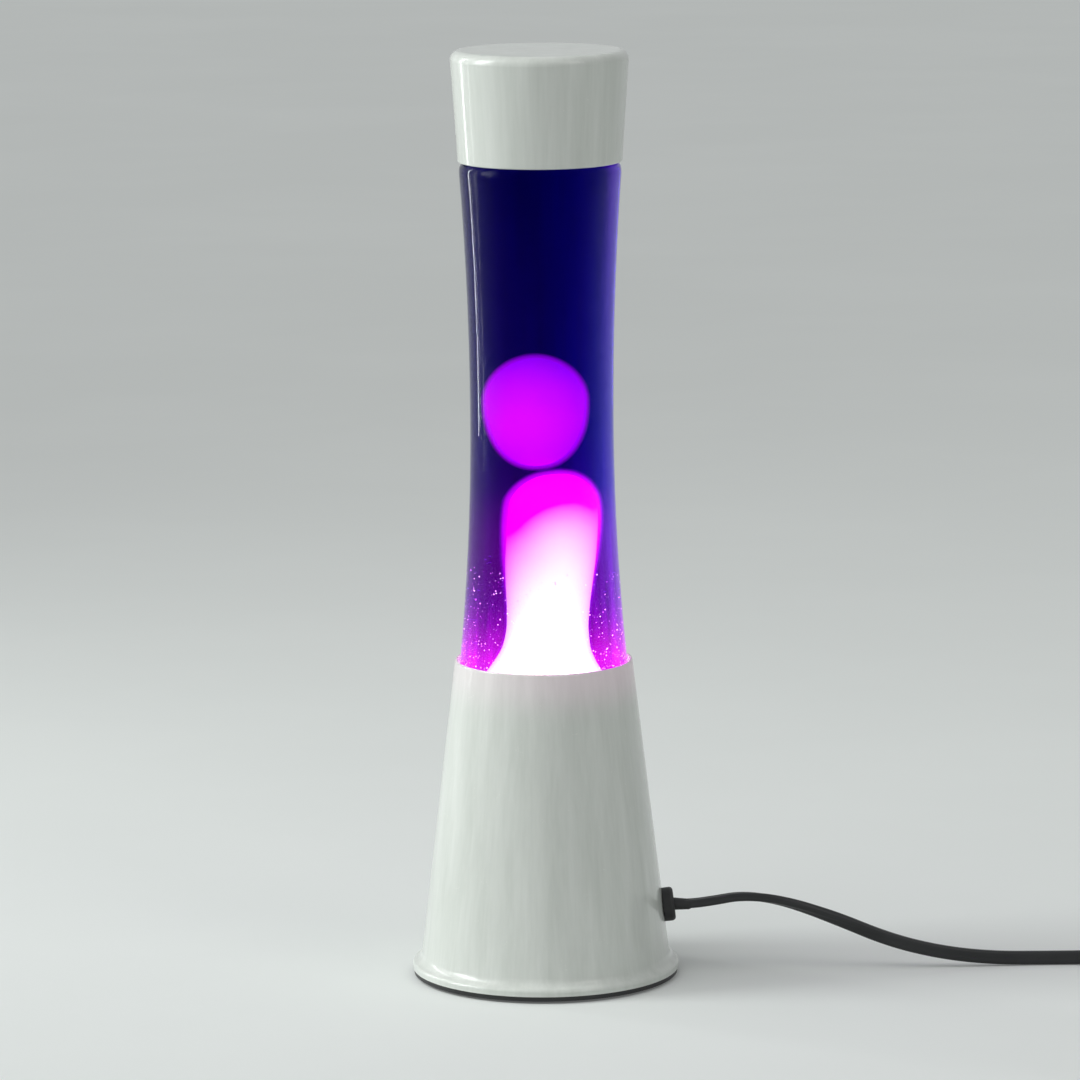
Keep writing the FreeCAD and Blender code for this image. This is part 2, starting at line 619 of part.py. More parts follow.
def make_plate_tabs():
    """Three angle pieces welded inside the wall, which the bottom plate is screwed to."""
    top = f"({TAB_BOTTOM} + tab_thickness)"
    upper = f"({top} + tab_length * 0.7)"

    def tab(index, c, s):
        piece = revolved(f"tab_{index}", [
            (f"{inner_cone(TAB_BOTTOM)} - tab_length", TAB_BOTTOM),
            (inner_cone(TAB_BOTTOM), TAB_BOTTOM),
            (inner_cone(upper), upper),
            (f"{inner_cone(upper)} - tab_thickness", upper),
            (f"{inner_cone(top)} - tab_thickness", top),
            (f"{inner_cone(TAB_BOTTOM)} - tab_length", top),
        ], "tab_angle * 1 deg")
        turned(piece, Vector(0, 0, 1), f"{TAB_STARTS + 120.0 * index} deg")
        x, y = f"{TAB_REACH} * {c}", f"{TAB_REACH} * {s}"
        low = f"{TAB_BOTTOM} - tab_thickness"
        hole = cylinder(f"tab_hole_{index}", "screw_shank", "4 * tab_thickness", x, y, low)
        return cut(f"drilled_tab_{index}", piece, hole)

    return group("plate_tabs", *around(3, TAB_STARTS, tab))


def make_plate_screws():
    return group("plate_screws", *around(3, TAB_STARTS, lambda index, c, s: screw(
        f"plate_screw_{index}", f"{TAB_REACH} * {c}", f"{TAB_REACH} * {s}", "(foot_stand + pad_sink / 2)",
        f"({TAB_BOTTOM} + 3 * tab_thickness - foot_stand - screw_head_height)")))


# The lampholder and its wiring.

def make_holder_bracket():
    half, foot = "bracket_span / 2", "bracket_foot"
    low, sheet_z = BRACKET_FOOT_Z, "bracket_sheet"
    strap = extruded("bracket_strap", "YZ_Plane", [
        (f"-{half} - {foot}", low),
        (f"-{half} + {sheet_z}", low),
        (f"-{half} + {sheet_z}", f"{HOLDER_BASE} - {sheet_z}"),
        (f"{half} - {sheet_z}", f"{HOLDER_BASE} - {sheet_z}"),
        (f"{half} - {sheet_z}", low),
        (f"{half} + {foot}", low),
        (f"{half} + {foot}", f"{low} + {sheet_z}"),
        (half, f"{low} + {sheet_z}"),
        (half, HOLDER_BASE),
        (f"-{half}", HOLDER_BASE),
        (f"-{half}", f"{low} + {sheet_z}"),
        (f"-{half} - {foot}", f"{low} + {sheet_z}"),
    ], "bracket_width", midplane=True)
    holes = []
    for index, side in enumerate(("", "-")):
        for name, y, z in (
            ("bracket_hole", BRACKET_SCREW, f"{low} - {sheet_z}"),
            ("holder_screw_hole", HOLDER_BORE, f"{HOLDER_BASE} - 2 * bracket_sheet"),
        ):
            holes.append(cylinder(
                f"{name}_{index}", "screw_shank", "3 * bracket_sheet", "0", f"{side}{y}", z))
    return cut("holder_bracket", strap, *holes)


HOLDER_THREAD = "(holder_floor * 0.8)"


def make_bracket_screws():
    top = f"({BRACKET_FOOT_Z} + bracket_sheet + screw_head_height)"
    return group("bracket_screws", *[
        screw(f"bracket_screw_{index}", "0", f"{side}{BRACKET_SCREW}", top,
              f"({BRACKET_FOOT_Z} + bracket_sheet - foot_stand - plate_thickness / 2)", up=False)
        for index, side in enumerate(("", "-"))
    ])


def make_holder_screws():
    start = f"({HOLDER_BASE} - bracket_sheet - screw_head_height)"
    length = f"(bracket_sheet + {HOLDER_THREAD})"
    return group("holder_screws", *[
        screw(f"holder_screw_{index}", "0", f"{side}{HOLDER_BORE}", start, length)
        for index, side in enumerate(("", "-"))
    ])


TERMINAL_Y = f"({HOLDER_RADIUS} / 2)"
TERMINAL_SIZE = "(holder_floor * 0.8)"
TERMINAL_X = f"({HOLDER_BORE} + 2 * shell_thickness)"


def make_lampholder_body():
    rim = f"({HOLDER_BASE} + holder_height)"
    barrel = revolved("holder_barrel", [
        ("0", HOLDER_BASE),
        (HOLDER_RADIUS, HOLDER_BASE),
        (HOLDER_RADIUS, f"{rim} - 2 * shell_thickness"),
        (f"{HOLDER_RADIUS} - 2 * shell_thickness", rim),
        (HOLDER_BORE, rim),
        (HOLDER_BORE, TERMINAL_Z),
        ("0", TERMINAL_Z),
    ])
    holes = []
    for index, side in enumerate(("", "-")):
        room = f"({TERMINAL_SIZE} + 2 * shell_thickness)"
        holes.append(box(
            f"terminal_pocket_{index}", HOLDER_RADIUS, room, room,
            TERMINAL_X, f"{side}{TERMINAL_Y} - {room} / 2", f"{TERMINAL_Z} - {room} / 2"))
        holes.append(cylinder(
            f"holder_thread_{index}", "screw_shank", HOLDER_THREAD, "0", f"{side}{HOLDER_BORE}", HOLDER_BASE))
    return cut("lampholder_body", barrel, *holes)


def make_screw_shell():
    """The brass shell that the bulb screws into, with its rolled ridges and its turned-in floor."""
    outside = f"({HOLDER_BORE} - cord_clearance)"
    inside = f"({outside} - shell_thickness)"
    low = f"({TERMINAL_Z} + 2 * shell_thickness)"
    top = f"({HOLDER_BASE} + holder_height - 2 * shell_thickness)"
    ridges = 6
    lip = f"{inside} - 2 * shell_thickness"
    corners = [(lip, low), (outside, low)]
    step = f"(({top} - {low}) / {2 * ridges + 1})"
    for ridge in range(ridges):
        corners.append((outside, f"{low} + {step} * {2 * ridge + 1}"))
        corners.append((f"{outside} - shell_thickness / 3", f"{low} + {step} * {2 * ridge + 2}"))
    corners += [(outside, top), (inside, top)]
    corners += [(inside, f"{low} + shell_thickness"), (lip, f"{low} + shell_thickness")]
    return revolved("screw_shell", corners)


def make_centre_contact():
    """A brass strip that stands on the holder's floor and springs up to the bulb's tip."""
    sheet_z = "shell_thickness"
    top = f"({BULB_TIP} - running_gap)"
    arm = f"({HOLDER_BORE} / 2)"
    return extruded("centre_contact", "XZ_Plane", [
        (f"-{arm}", TERMINAL_Z),
        (arm, TERMINAL_Z),
        (arm, f"{TERMINAL_Z} + {sheet_z}"),
        (f"-{arm} + {sheet_z}", f"{TERMINAL_Z} + {sheet_z}"),
        (f"-{arm} / 2", f"{top} - {sheet_z}"),
        (f"{arm} / 2", f"{top} - {sheet_z}"),
        (f"{arm} / 2", top),
        (f"-{arm} / 2 - {sheet_z} / 2", top),
        (f"-{arm}", f"{TERMINAL_Z} + {sheet_z}"),
    ], f"{HOLDER_BORE} / 2", midplane=True)


def make_holder_terminals():
    blocks = []
    for index, side in enumerate(("", "-")):
        size, y = TERMINAL_SIZE, f"{side}{TERMINAL_Y}"
        block = box(f"terminal_block_{index}", size, size, size,
                    TERMINAL_X, f"{y} - {size} / 2", f"{TERMINAL_Z} - {size} / 2")
        head = cylinder(f"terminal_screw_{index}", f"{size} / 3", "shell_thickness",
                        f"{TERMINAL_X} + {size} / 2", y, f"{TERMINAL_Z} + {size} / 2 - shell_thickness / 2")
        blocks.append(fused(f"terminal_{index}", block, head))
    return group("holder_terminals", *blocks)


def wall_point(out, across=0.0):
    """A point on the cord's axis through the wall, so many millimetres outside it."""
    tilt = math.radians(number(CONE_TILT))
    x = number(cone_radius(GLAND_Z)) + out * math.cos(tilt)
    return (x, across, number("gland_height") + out * math.sin(tilt))


def make_wire(name, side):
    core, y = number("core_radius"), side * number(TERMINAL_Y)
    start = wall_point(-number("sheath_end"), side * core * 1.3)
    straight = wall_point(-number("sheath_end + wire_straight"), side * core * 1.3)
    face = number(f"{TERMINAL_X} + {TERMINAL_SIZE}")
    height = number(TERMINAL_Z)
    radius = number(HOLDER_RADIUS)
    return tube(name, [
        start,
        straight,
        (radius + number("wire_slack"), side * number("wire_spread"), start[2] - number("wire_droop")),
        (radius + number("wire_bend"), y, height + core),
        (radius + number("wire_level"), y, height),
        (face, y, height),
    ], core)


# The cord's bush and the cord.

NUT_DEPTH = "(base_wall + gland_nut_stand + gland_nut_thickness)"


def make_cord_gland():
    bush = revolved("gland_bush", [
        (CORD_HOLE, f"-{NUT_DEPTH} - gland_tail"),
        (GLAND_NECK, f"-{NUT_DEPTH} - gland_tail"),
        (GLAND_NECK, "0"),
        (GLAND_RADIUS, "0"),
        (GLAND_RADIUS, "gland_thickness - gland_round", "gland_round"),
        (f"{GLAND_RADIUS} - gland_round", "gland_thickness"),
        (CORD_HOLE, "gland_thickness"),
    ])
    at_the_wall(bush)
    bush.Label = "cord_gland"
    return bush


def make_gland_nut():
    hexagon = doc.addObject("Part::Prism", "nut_blank")
    hexagon.Polygon = 6
    bind(hexagon, {"Circumradius": f"{GLAND_RADIUS} * 1.15", "Height": "gland_nut_thickness"})
    deep, low = "gland_nut_thickness * 2", "-gland_nut_thickness / 2"
    bore = cylinder("nut_bore", f"{GLAND_NECK} + pin_gap", deep, z=low)
    return at_the_wall(cut("gland_nut", hexagon, bore), f"-{NUT_DEPTH}")


def make_cord_sheath_end():
    """The last of the cord's sheath, held in the bush; its two cores go on to the lampholder."""
    length = f"sheath_end + gland_thickness - {LEAD_DEPTH}"
    return at_the_wall(cylinder("cord_sheath_end", CORD_RADIUS, length), "-sheath_end")


# The lead from the bush to the switch: out of the wall, up over its own stiffness, down to the table.
LEAD_ROUTE = (
    (53.8, 0.0, 29.3), (61.0, 0.0, 30.2), (71.0, 0.0, 29.8), (84.0, 0.0, 32.8), (101.0, 0.0, 30.5),
    (123.0, 0.0, 22.7), (146.0, 1.0, 12.6), (168.0, 2.5, 6.6), (190.0, 4.5, 3.5), (213.0, 6.0, 3.0),
    (236.0, 5.6, 3.2), (262.0, -1.5, 7.0), (279.38, -7.81, 7.0),
)
# From the switch down to the table and into the coil.
TAIL_ROUTE = (
    (334.82, -27.99, 7.0), (346.6, -32.3, 7.0), (359.5, -36.3, 4.8), (372.5, -39.2, 3.0), (385.0, -41.0, 3.0),
)


def make_coil():
    """Two layers of loose turns: in on the table, up in the half turn at the middle, and out again."""
    inner, pitch, turns = number("coil_inner"), number(COIL_PITCH), number("coil_turns")
    layer = 2 * math.pi * turns
    climb = math.pi
    total = 2 * layer + climb
    last, start = Vector(*TAIL_ROUTE[-2]), Vector(*TAIL_ROUTE[-1])
    heading = math.atan2(start.y - last.y, start.x - last.x)
    outer = number(COIL_OUTER)
    centre = start + Vector(-math.sin(heading), math.cos(heading), 0) * outer

    def point(angle):
        inward = min(angle, layer) + max(min(angle - layer, climb / 2), 0)
        outward = max(angle - layer - climb / 2, 0)
        radius = outer - pitch * (inward - outward) / (2 * math.pi)
        risen = max(min((angle - layer) / climb, 1), 0)
        height = pitch * risen * risen * (3 - 2 * risen)
        around = heading - math.pi / 2 + angle
        return centre + Vector(radius * math.cos(around), radius * math.sin(around), height)

    def tangent(angle):
        step = 1e-4
        if angle == 0:
            return Vector(math.cos(heading), math.sin(heading), 0)
        return (point(min(angle + step, total)) - point(angle - step)).normalize()

    count = round(total / (math.pi / 2))
    places = [total * index / count for index in range(count + 1)]
    edges = []
    for first, second in zip(places, places[1:]):
        edges += biarc(point(first), tangent(first), point(second), tangent(second))
    fine = [point(total * index / 2000) for index in range(2001)]
    step = (fine[1] - fine[0]).Length
    far = int(4 * inner / step)
    least = min(
        (p - q).Length for i, p in enumerate(fine[::2]) for q in fine[2 * i + far::3]
    ) if far < len(fine) else 0
    least_gap = least - number("cord_width")
    print(f"cord_coil: {total / (2 * math.pi):.1f} turns, least gap to itself {least_gap:.2f} mm")
    end, away = point(total), tangent(total)
    leaving = math.degrees(math.atan2(away.y, away.x))
    print(f"cord_coil ends at ({end.x:.1f}, {end.y:.1f}, {end.z:.1f}) heading {leaving:.1f} degrees")
    return swept("cord_coil", edges, number(CORD_RADIUS)), end, away


def biarc(start, leaving, end, arriving):
    """Two arcs that leave one point and reach the next along given directions."""
    across = end - start
    both = leaving + arriving
    lead = 2 * (1 - leaving.dot(arriving))
    swing = across.dot(both)
    reach = (-swing + math.sqrt(swing ** 2 + lead * across.dot(across))) / lead
    joint = (start + end + (leaving - arriving) * reach) / 2
    meeting = (joint - (start + leaving * reach)).normalize()
    return [arc_along(start, leaving, joint), arc_along(joint, meeting, end)]


def arc_along(start, heading, end):
    chord = end - start
    along = Vector(chord).normalize()
    angle = heading.getAngle(chord)
    aside = (heading - along * heading.dot(along)).normalize()
    middle = (start + end) / 2 + aside * (chord.Length / 2 * math.tan(angle / 2))
    return Part.Arc(start, middle, end).toShape()


def make_cord_end(end, away):
    """From the top of the coil down into the plug's strain relief."""
    angle = math.radians(number("plug_heading"))
    into = Vector(math.cos(angle), math.sin(angle), 0)
    mouth = Vector(number("plug_x"), number("plug_y"), number("plug_height / 2"))
    straight = 11.0
    return tube("cord_end", [end, end + away * straight, mouth - into * straight, mouth], number(CORD_RADIUS))


# The switch in the cord.

def in_the_switch(piece):
    turned(piece, Vector(0, 0, 1), "switch_heading * 1 deg")
    return move(piece, "switch_x", "switch_y")


def rounded_plan(length, width, corner):
    """An outline with quarter-round corners, as corners for a sketch."""
    a, b = f"({length} / 2)", f"({width} / 2)"
    return [
        (f"-{a} + {corner}", f"-{b}"), (f"{a} - {corner}", f"-{b}", corner),
        (a, f"-{b} + {corner}"), (a, f"{b} - {corner}", corner),
        (f"{a} - {corner}", b), (f"-{a} + {corner}", b, corner),
        (f"-{a}", f"{b} - {corner}"), (f"-{a}", f"-{b} + {corner}", corner),
    ]


CAVITY = (
    "(switch_length - 2 * switch_wall)",
    "(switch_width - 2 * switch_wall)",
    "(switch_corner - switch_wall)",
)
SWITCH_SCREW_X = "(switch_length / 2 - switch_corner)"
SWITCH_SCREW_Y = "(switch_width / 2 - switch_wall - 1.5 * screw_shank)"
SWITCH_SHANK = "(screw_shank * 0.8)"
CORD_TUNNEL = "(switch_length + 2)"


def case_half(name, upper):
    """One half of the case, open towards the other, with screw bosses at two opposite corners."""
    plan = rounded_plan("switch_length", "switch_width", "switch_corner")
    block = extruded(f"{name}_block", "XY_Plane", plan, HALF)
    outer_face = number(HALF) if upper else 0.0
    round_edges(block, "switch_edge", lambda p: abs(p.z - outer_face) < 1e-6)
    hollow = extruded(f"{name}_hollow", "XY_Plane", rounded_plan(*CAVITY), HALF)
    move(hollow, z="-switch_wall" if upper else "switch_wall")
    shell = cut(f"{name}_shell", block, hollow)
    bosses, holes = [], []
    tall = f"{HALF} - switch_wall / 2"
    bored = f"{HALF} - switch_wall" if upper else HALF
    for index, side in enumerate(("", "-")):
        x, y = f"{side}{SWITCH_SCREW_X}", f"{side}{SWITCH_SCREW_Y}"
        low = "0" if upper else "switch_wall / 2"
        bosses.append(cylinder(f"{name}_boss_{index}", "2 * screw_shank", tall, x, y, low))
        holes.append(cylinder(f"{name}_hole_{index}", SWITCH_SHANK, bored, x, y))
        if not upper:
            wide, deep = "screw_head * 0.8", "screw_head_height + pad_sink / 2"
            holes.append(cylinder(f"{name}_sink_{index}", wide, deep, x, y))
    start, seam = f"-{CORD_TUNNEL} / 2", "0" if upper else HALF
    tunnel = cylinder(f"{name}_tunnel", CORD_HOLE, CORD_TUNNEL, start, z=seam)
    tunnel.Placement = Placement(tunnel.Placement.Base, Rotation(Vector(0, 1, 0), 90))
    return shell, bosses, holes, tunnel


def make_lower_case():
    shell, bosses, holes, tunnel = case_half("lower_case", False)
    body = fused("lower_case_body", shell, *bosses)
    return in_the_switch(cut("switch_lower_case", body, tunnel, *holes))


ROCKER_HOLE = "(2 * rocker_reach + 2 * running_gap)"
CHEEK_Y = "(rocker_width / 2 + running_gap)"


def make_upper_case():
    shell, bosses, holes, tunnel = case_half("upper_case", True)
    room = "(rocker_width + 2 * running_gap)"
    opening = box("rocker_opening", ROCKER_HOLE, room, "4 * switch_wall",
                  f"-{ROCKER_HOLE} / 2", f"-{room} / 2", f"{HALF} - 2 * switch_wall")
    for index, side in enumerate(("", "-")):
        y = CHEEK_Y if side == "" else f"-{CHEEK_Y} - cheek_thickness"
        bosses.append(box(f"cheek_{index}", "6 * pin_radius", "cheek_thickness", f"{HALF} - switch_wall / 2",
                          "-3 * pin_radius", y, "0"))
    bore = cylinder("pin_bore", "pin_radius + pin_gap", "switch_width - 2 * switch_wall",
                    "0", "switch_width / 2 - switch_wall", f"{ROCKER_PIVOT} - {HALF}")
    bore.Placement = Placement(bore.Placement.Base, Rotation(Vector(1, 0, 0), 90))
    holes = [opening, bore, *holes]
    piece = cut("switch_upper_case", fused("upper_case_body", shell, *bosses), tunnel, *holes)
    return move(in_the_switch(piece), z=HALF)


def make_switch_screws():
    length = "(switch_height - screw_head_height - 2 * switch_wall)"
    screws = [
        screw(f"switch_screw_{index}", f"{side}{SWITCH_SCREW_X}", f"{side}{SWITCH_SCREW_Y}",
              "(pad_sink / 2)", length, head="(screw_head * 0.75)", shank=SWITCH_SHANK)
        for index, side in enumerate(("", "-"))
    ]
    return in_the_switch(group("switch_screws", *screws))


CONTACT_X = "(rocker_reach * 0.75)"
CONTACT_SIZE = "(3 * pin_radius)"
CONTACT_TOP = (
    f"({ROCKER_PIVOT} - (rocker_depth + bridge_thickness) * cos(rocker_tilt * 1 deg)"
    f" - {CONTACT_X} * sin(rocker_tilt * 1 deg) - 2 * running_gap)"
)


def make_switch_terminals():
    blocks = [
        box(f"switch_terminal_{index}", CONTACT_SIZE, CONTACT_SIZE, f"{CONTACT_TOP} - switch_wall",
            f"{side}{CONTACT_X} - {CONTACT_SIZE} / 2", f"-{CONTACT_SIZE} / 2", "switch_wall")
        for index, side in enumerate(("", "-"))
    ]
    return in_the_switch(group("switch_terminals", *blocks))


def make_switch_wires():
    """The live core stops at each terminal; the neutral core runs through beside the rocker."""
    core, half = number("core_radius"), number(f"switch_length / 2 - {CORD_GRIP} - pin_gap / 2")
    beside = number(f"{CHEEK_Y} + cheek_thickness") + core + 0.6
    high, low = number(HALF), number("switch_wall") + core + 0.2
    face = number(f"{CONTACT_X} + {CONTACT_SIZE} / 2")
    boss = number(SWITCH_SCREW_X)
    straight, level = number("wire_straight"), number("wire_level")
    right = [
        (half, core * 1.3, high), (half - straight, core * 1.3, high),
        (boss - core / 2, core * 3, high - core * 2),
        (boss - number("wire_pass"), beside, low + core / 3), (number("rocker_reach"), beside, low),
    ]
    through = right + [(-x, y, z) for x, y, z in reversed(right)]
    wires = [tube("neutral_core", through, core)]
    for side in (1, -1):
        points = [
            (half, -core * 1.3, high), (half - straight, -core * 1.3, high),
            (face + number("wire_bend"), -core * 0.8, low + core),
            (face + level, -core * 0.2, low), (face, -core * 0.2, low),
        ]
        wires.append(tube(f"live_core_{side + 1}", [(side * x, y, z) for x, y, z in points], core))
    return in_the_switch(group("switch_wires", *wires))


def on_the_pivot(piece):
    """Tilts a piece to the side that it rests on when the lamp is on, and sets it on the pivot."""
    heading = number("switch_heading")
    tilt = number("rocker_tilt")
    place = Vector(number("switch_x"), number("switch_y"), number(ROCKER_PIVOT))
    piece.Placement = Placement(place, Rotation(Vector(0, 0, 1), heading) * Rotation(Vector(0, 1, 0), tilt))
    return move(piece, "switch_x", "switch_y", ROCKER_PIVOT)


def make_rocker():
    """A two-sided rocker: its ends are arcs about the pivot, so its gap in the case stays the same."""
    slope = "tan(rocker_tilt * 1 deg)"
    end_x = (
        f"((sqrt(rocker_reach^2 * (1 + {slope}^2) - rocker_crown^2) - rocker_crown * {slope})"
        f" / (1 + {slope}^2))"
    )
    low_x = "sqrt(rocker_reach^2 - rocker_depth^2)"
    wedge = extruded("rocker_wedge", "XZ_Plane", [
        (f"-{low_x}", "-rocker_depth"),
        (low_x, "-rocker_depth", "rocker_reach"),
        (end_x, f"rocker_crown + {end_x} * {slope}"),
        ("0", "rocker_crown"),
        (f"-{end_x}", f"rocker_crown + {end_x} * {slope}", "rocker_reach"),
    ], "rocker_width", midplane=True)
    span = f"(2 * ({CHEEK_Y} + cheek_thickness))"
    pin = cylinder("rocker_pin", "pin_radius", span, "0", f"{span} / 2")
    pin.Placement = Placement(pin.Placement.Base, Rotation(Vector(1, 0, 0), 90))
    return on_the_pivot(fused("switch_rocker", wedge, pin))


def make_contact_bridge():
    reach = f"({CONTACT_X} * 2)"
    piece = box("contact_bridge", reach, CONTACT_SIZE, "bridge_thickness",
                f"-{reach} / 2", f"-{CONTACT_SIZE} / 2", "-rocker_depth - bridge_thickness")
    return on_the_pivot(group("switch_contact_bridge", piece))


# The plug.

def on_the_plug(piece, z="0"):
    turned(piece, Vector(0, 0, 1), "plug_heading * 1 deg")
    return move(piece, "plug_x", "plug_y", z)


PLUG_FACE = "(relief_length + plug_length)"


def make_plug_body():
    narrow, wide = "plug_shoulder / 2", "plug_width / 2"
    flare = "(relief_length + plug_length * 0.6)"
    block = extruded("plug_block", "XY_Plane", [
        ("relief_length", f"-{narrow}"), (flare, f"-{wide}"), (PLUG_FACE, f"-{wide}"),
        (PLUG_FACE, wide), (flare, wide), ("relief_length", narrow),
    ], "plug_height", midplane=True)
    face = number(PLUG_FACE)
    half = number("plug_height") / 2

    def outside_edge(p):
        return 0 < p.x < face - 1 and (abs(abs(p.z) - half) < 1e-6 or p.z == 0)

    round_edges(block, "plug_edge", outside_edge)
    relief = cone("plug_relief", RELIEF_TIP, RELIEF_ROOT, "relief_length + plug_edge * 2")
    relief.Placement = Placement(Vector(0, 0, 0), Rotation(Vector(0, 1, 0), 90))
    return on_the_plug(fused("plug_body", block, relief), "plug_height / 2")


def pin_pieces(name, radius, start, length):
    pieces = []
    for index, side in enumerate(("", "-")):
        y, z = f"{side}plug_pin_spacing / 2", "plug_height / 2"
        pin = cylinder(f"{name}_{index}", radius, length, start, y, z)
        pin.Placement = Placement(pin.Placement.Base, Rotation(Vector(0, 1, 0), 90))
        pieces.append(pin)
    return pieces


def make_plug_pins():
    bare = "plug_pin_length - pin_sleeve"
    cores = pin_pieces("pin_core", "plug_pin_radius - shell_thickness", PLUG_FACE, "pin_sleeve")
    tips = pin_pieces("pin_tip", "plug_pin_radius", f"{PLUG_FACE} + pin_sleeve", bare)
    pins = [fused(f"plug_pin_{index}", core, tip) for index, (core, tip) in enumerate(zip(cores, tips))]
    return on_the_plug(group("plug_pins", *pins))


def make_pin_sleeves():
    outer = pin_pieces("sleeve_outside", "plug_pin_radius", PLUG_FACE, "pin_sleeve")
    inner = pin_pieces("sleeve_bore", "plug_pin_radius - shell_thickness", PLUG_FACE, "pin_sleeve")
    sleeves = [cut(f"pin_sleeve_{index}", a, b) for index, (a, b) in enumerate(zip(outer, inner))]
    return on_the_plug(group("pin_sleeves", *sleeves))


# The bulb.

def make_bulb_envelope():
    """A blown reflector: a straight neck, a flaring mirror and a shallow domed face."""
    neck, glass = "bulb_cap_radius", "bulb_glass"
    throat = f"({BULB_SKIRT} + bulb_length * 0.12)"
    widest = f"({BULB_TOP} - bulb_length * 0.2)"
    brim = f"({BULB_TOP} - bulb_length * 0.09)"
    flare, edge = "bulb_length * 0.55", "bulb_radius * 0.45"
    outer_brim, inner_brim = "(bulb_radius * 0.82)", f"(bulb_radius * 0.82 - {glass} * 0.4)"
    rise = f"({BULB_TOP} - {brim})"
    return revolved("bulb_envelope", [
        (f"{neck} - {glass}", BULB_SKIRT),
        (neck, BULB_SKIRT),
        (f"{neck} + {glass}", throat, flare),
        ("bulb_radius", widest, edge),
        (outer_brim, brim, bend(outer_brim, rise)),
        ("0", BULB_TOP),
        ("0", f"{BULB_TOP} - {glass}", f"-{bend(inner_brim, rise)}"),
        (inner_brim, f"{brim} - {glass}", f"-({edge} - {glass} / 2)"),
        (f"bulb_radius - {glass}", widest, f"-({flare} + {glass})"),
        (neck, throat),
    ])


def make_bulb_cap():
    """The threaded cap, with rolled ridges, closed below by a turned-in edge."""
    low = f"({BULB_TIP} + bulb_cap_top * 0.3)"
    ridges = 4
    root = "(bulb_cap_radius - bulb_glass / 2)"
    lip, sheet_top = f"{root} - 2 * bulb_glass", f"{low} + bulb_glass / 2"
    step = f"(({BULB_SKIRT} - {low}) / {2 * ridges + 2})"
    corners = [(lip, low), (root, low)]
    for ridge in range(ridges):
        corners.append(("bulb_cap_radius", f"{low} + {step} * {2 * ridge + 1}"))
        corners.append((root, f"{low} + {step} * {2 * ridge + 2}"))
    corners += [("bulb_cap_radius", BULB_SKIRT), (f"{root} - bulb_glass / 2", BULB_SKIRT)]
    corners += [(f"{root} - bulb_glass / 2", sheet_top), (lip, sheet_top)]
    return revolved("bulb_cap", corners)


def make_bulb_insulator():
    low = f"({BULB_TIP} + bulb_cap_top * 0.1)"
    wide = "bulb_cap_radius - bulb_glass * 2"
    return cone("bulb_insulator", "bulb_cap_radius * 0.4", wide, "bulb_cap_top * 0.2", z=low)


def make_bulb_tip():
    narrow, wide = "bulb_cap_radius * 0.25", "bulb_cap_radius * 0.35"
    return cone("bulb_tip_contact", narrow, wide, "bulb_cap_top * 0.1", z=BULB_TIP)


STEM_TOP = f"({BULB_SKIRT} + bulb_length * 0.25)"


def make_bulb_stem():
    """The glass foot that closes the neck and carries the support wires."""
    foot = f"({BULB_SKIRT} + bulb_glass)"
    return revolved("bulb_stem", [
        ("0", BULB_SKIRT),
        ("bulb_cap_radius - bulb_glass", BULB_SKIRT),
        ("bulb_cap_radius - bulb_glass", foot),
        ("bulb_cap_radius * 0.35", f"{foot} + 2 * bulb_glass"),
        ("bulb_cap_radius * 0.35", STEM_TOP),
        ("0", STEM_TOP),
    ])


SUPPORT_Y = "(bulb_cap_radius * 0.8)"
FILAMENT_Z = f"({BULB_SKIRT} + bulb_length * 0.36)"


def make_bulb_supports():
    """Two wires that spread from the stem's top to the ends of the filament."""
    foot, top = number(STEM_TOP), number(FILAMENT_Z)
    wires = []
    for side in (1, -1):
        y = side * number(SUPPORT_Y)
        points = [(0, side * 0.9, foot), (0, side * 1.1, foot + 1.5), (0, y, foot + 4.5), (0, y, top)]
        wires.append(tube(f"support_{side + 1}", points, number("support_radius")))
    return group("bulb_supports", *wires)


def make_filament():
    arch = doc.addObject("Part::Torus", "bulb_filament")
    bind(arch, {"Radius1": SUPPORT_Y, "Radius2": "bulb_glass / 2", "Angle3": "180 deg"})
    upright = Rotation(Vector(0, 0, 1), 90) * Rotation(Vector(1, 0, 0), 90)
    arch.Placement = Placement(Vector(0, 0, 0), upright)
    return move(arch, z=FILAMENT_Z)


# The bottle and what it holds.

LOWER_BEND = bend(f"{WAIST} - {FOOT_TOP}", f"{FOOT_RADIUS} - waist_radius")
UPPER_BEND = bend(f"{SHOULDER} - {WAIST}", "shoulder_radius - waist_radius")


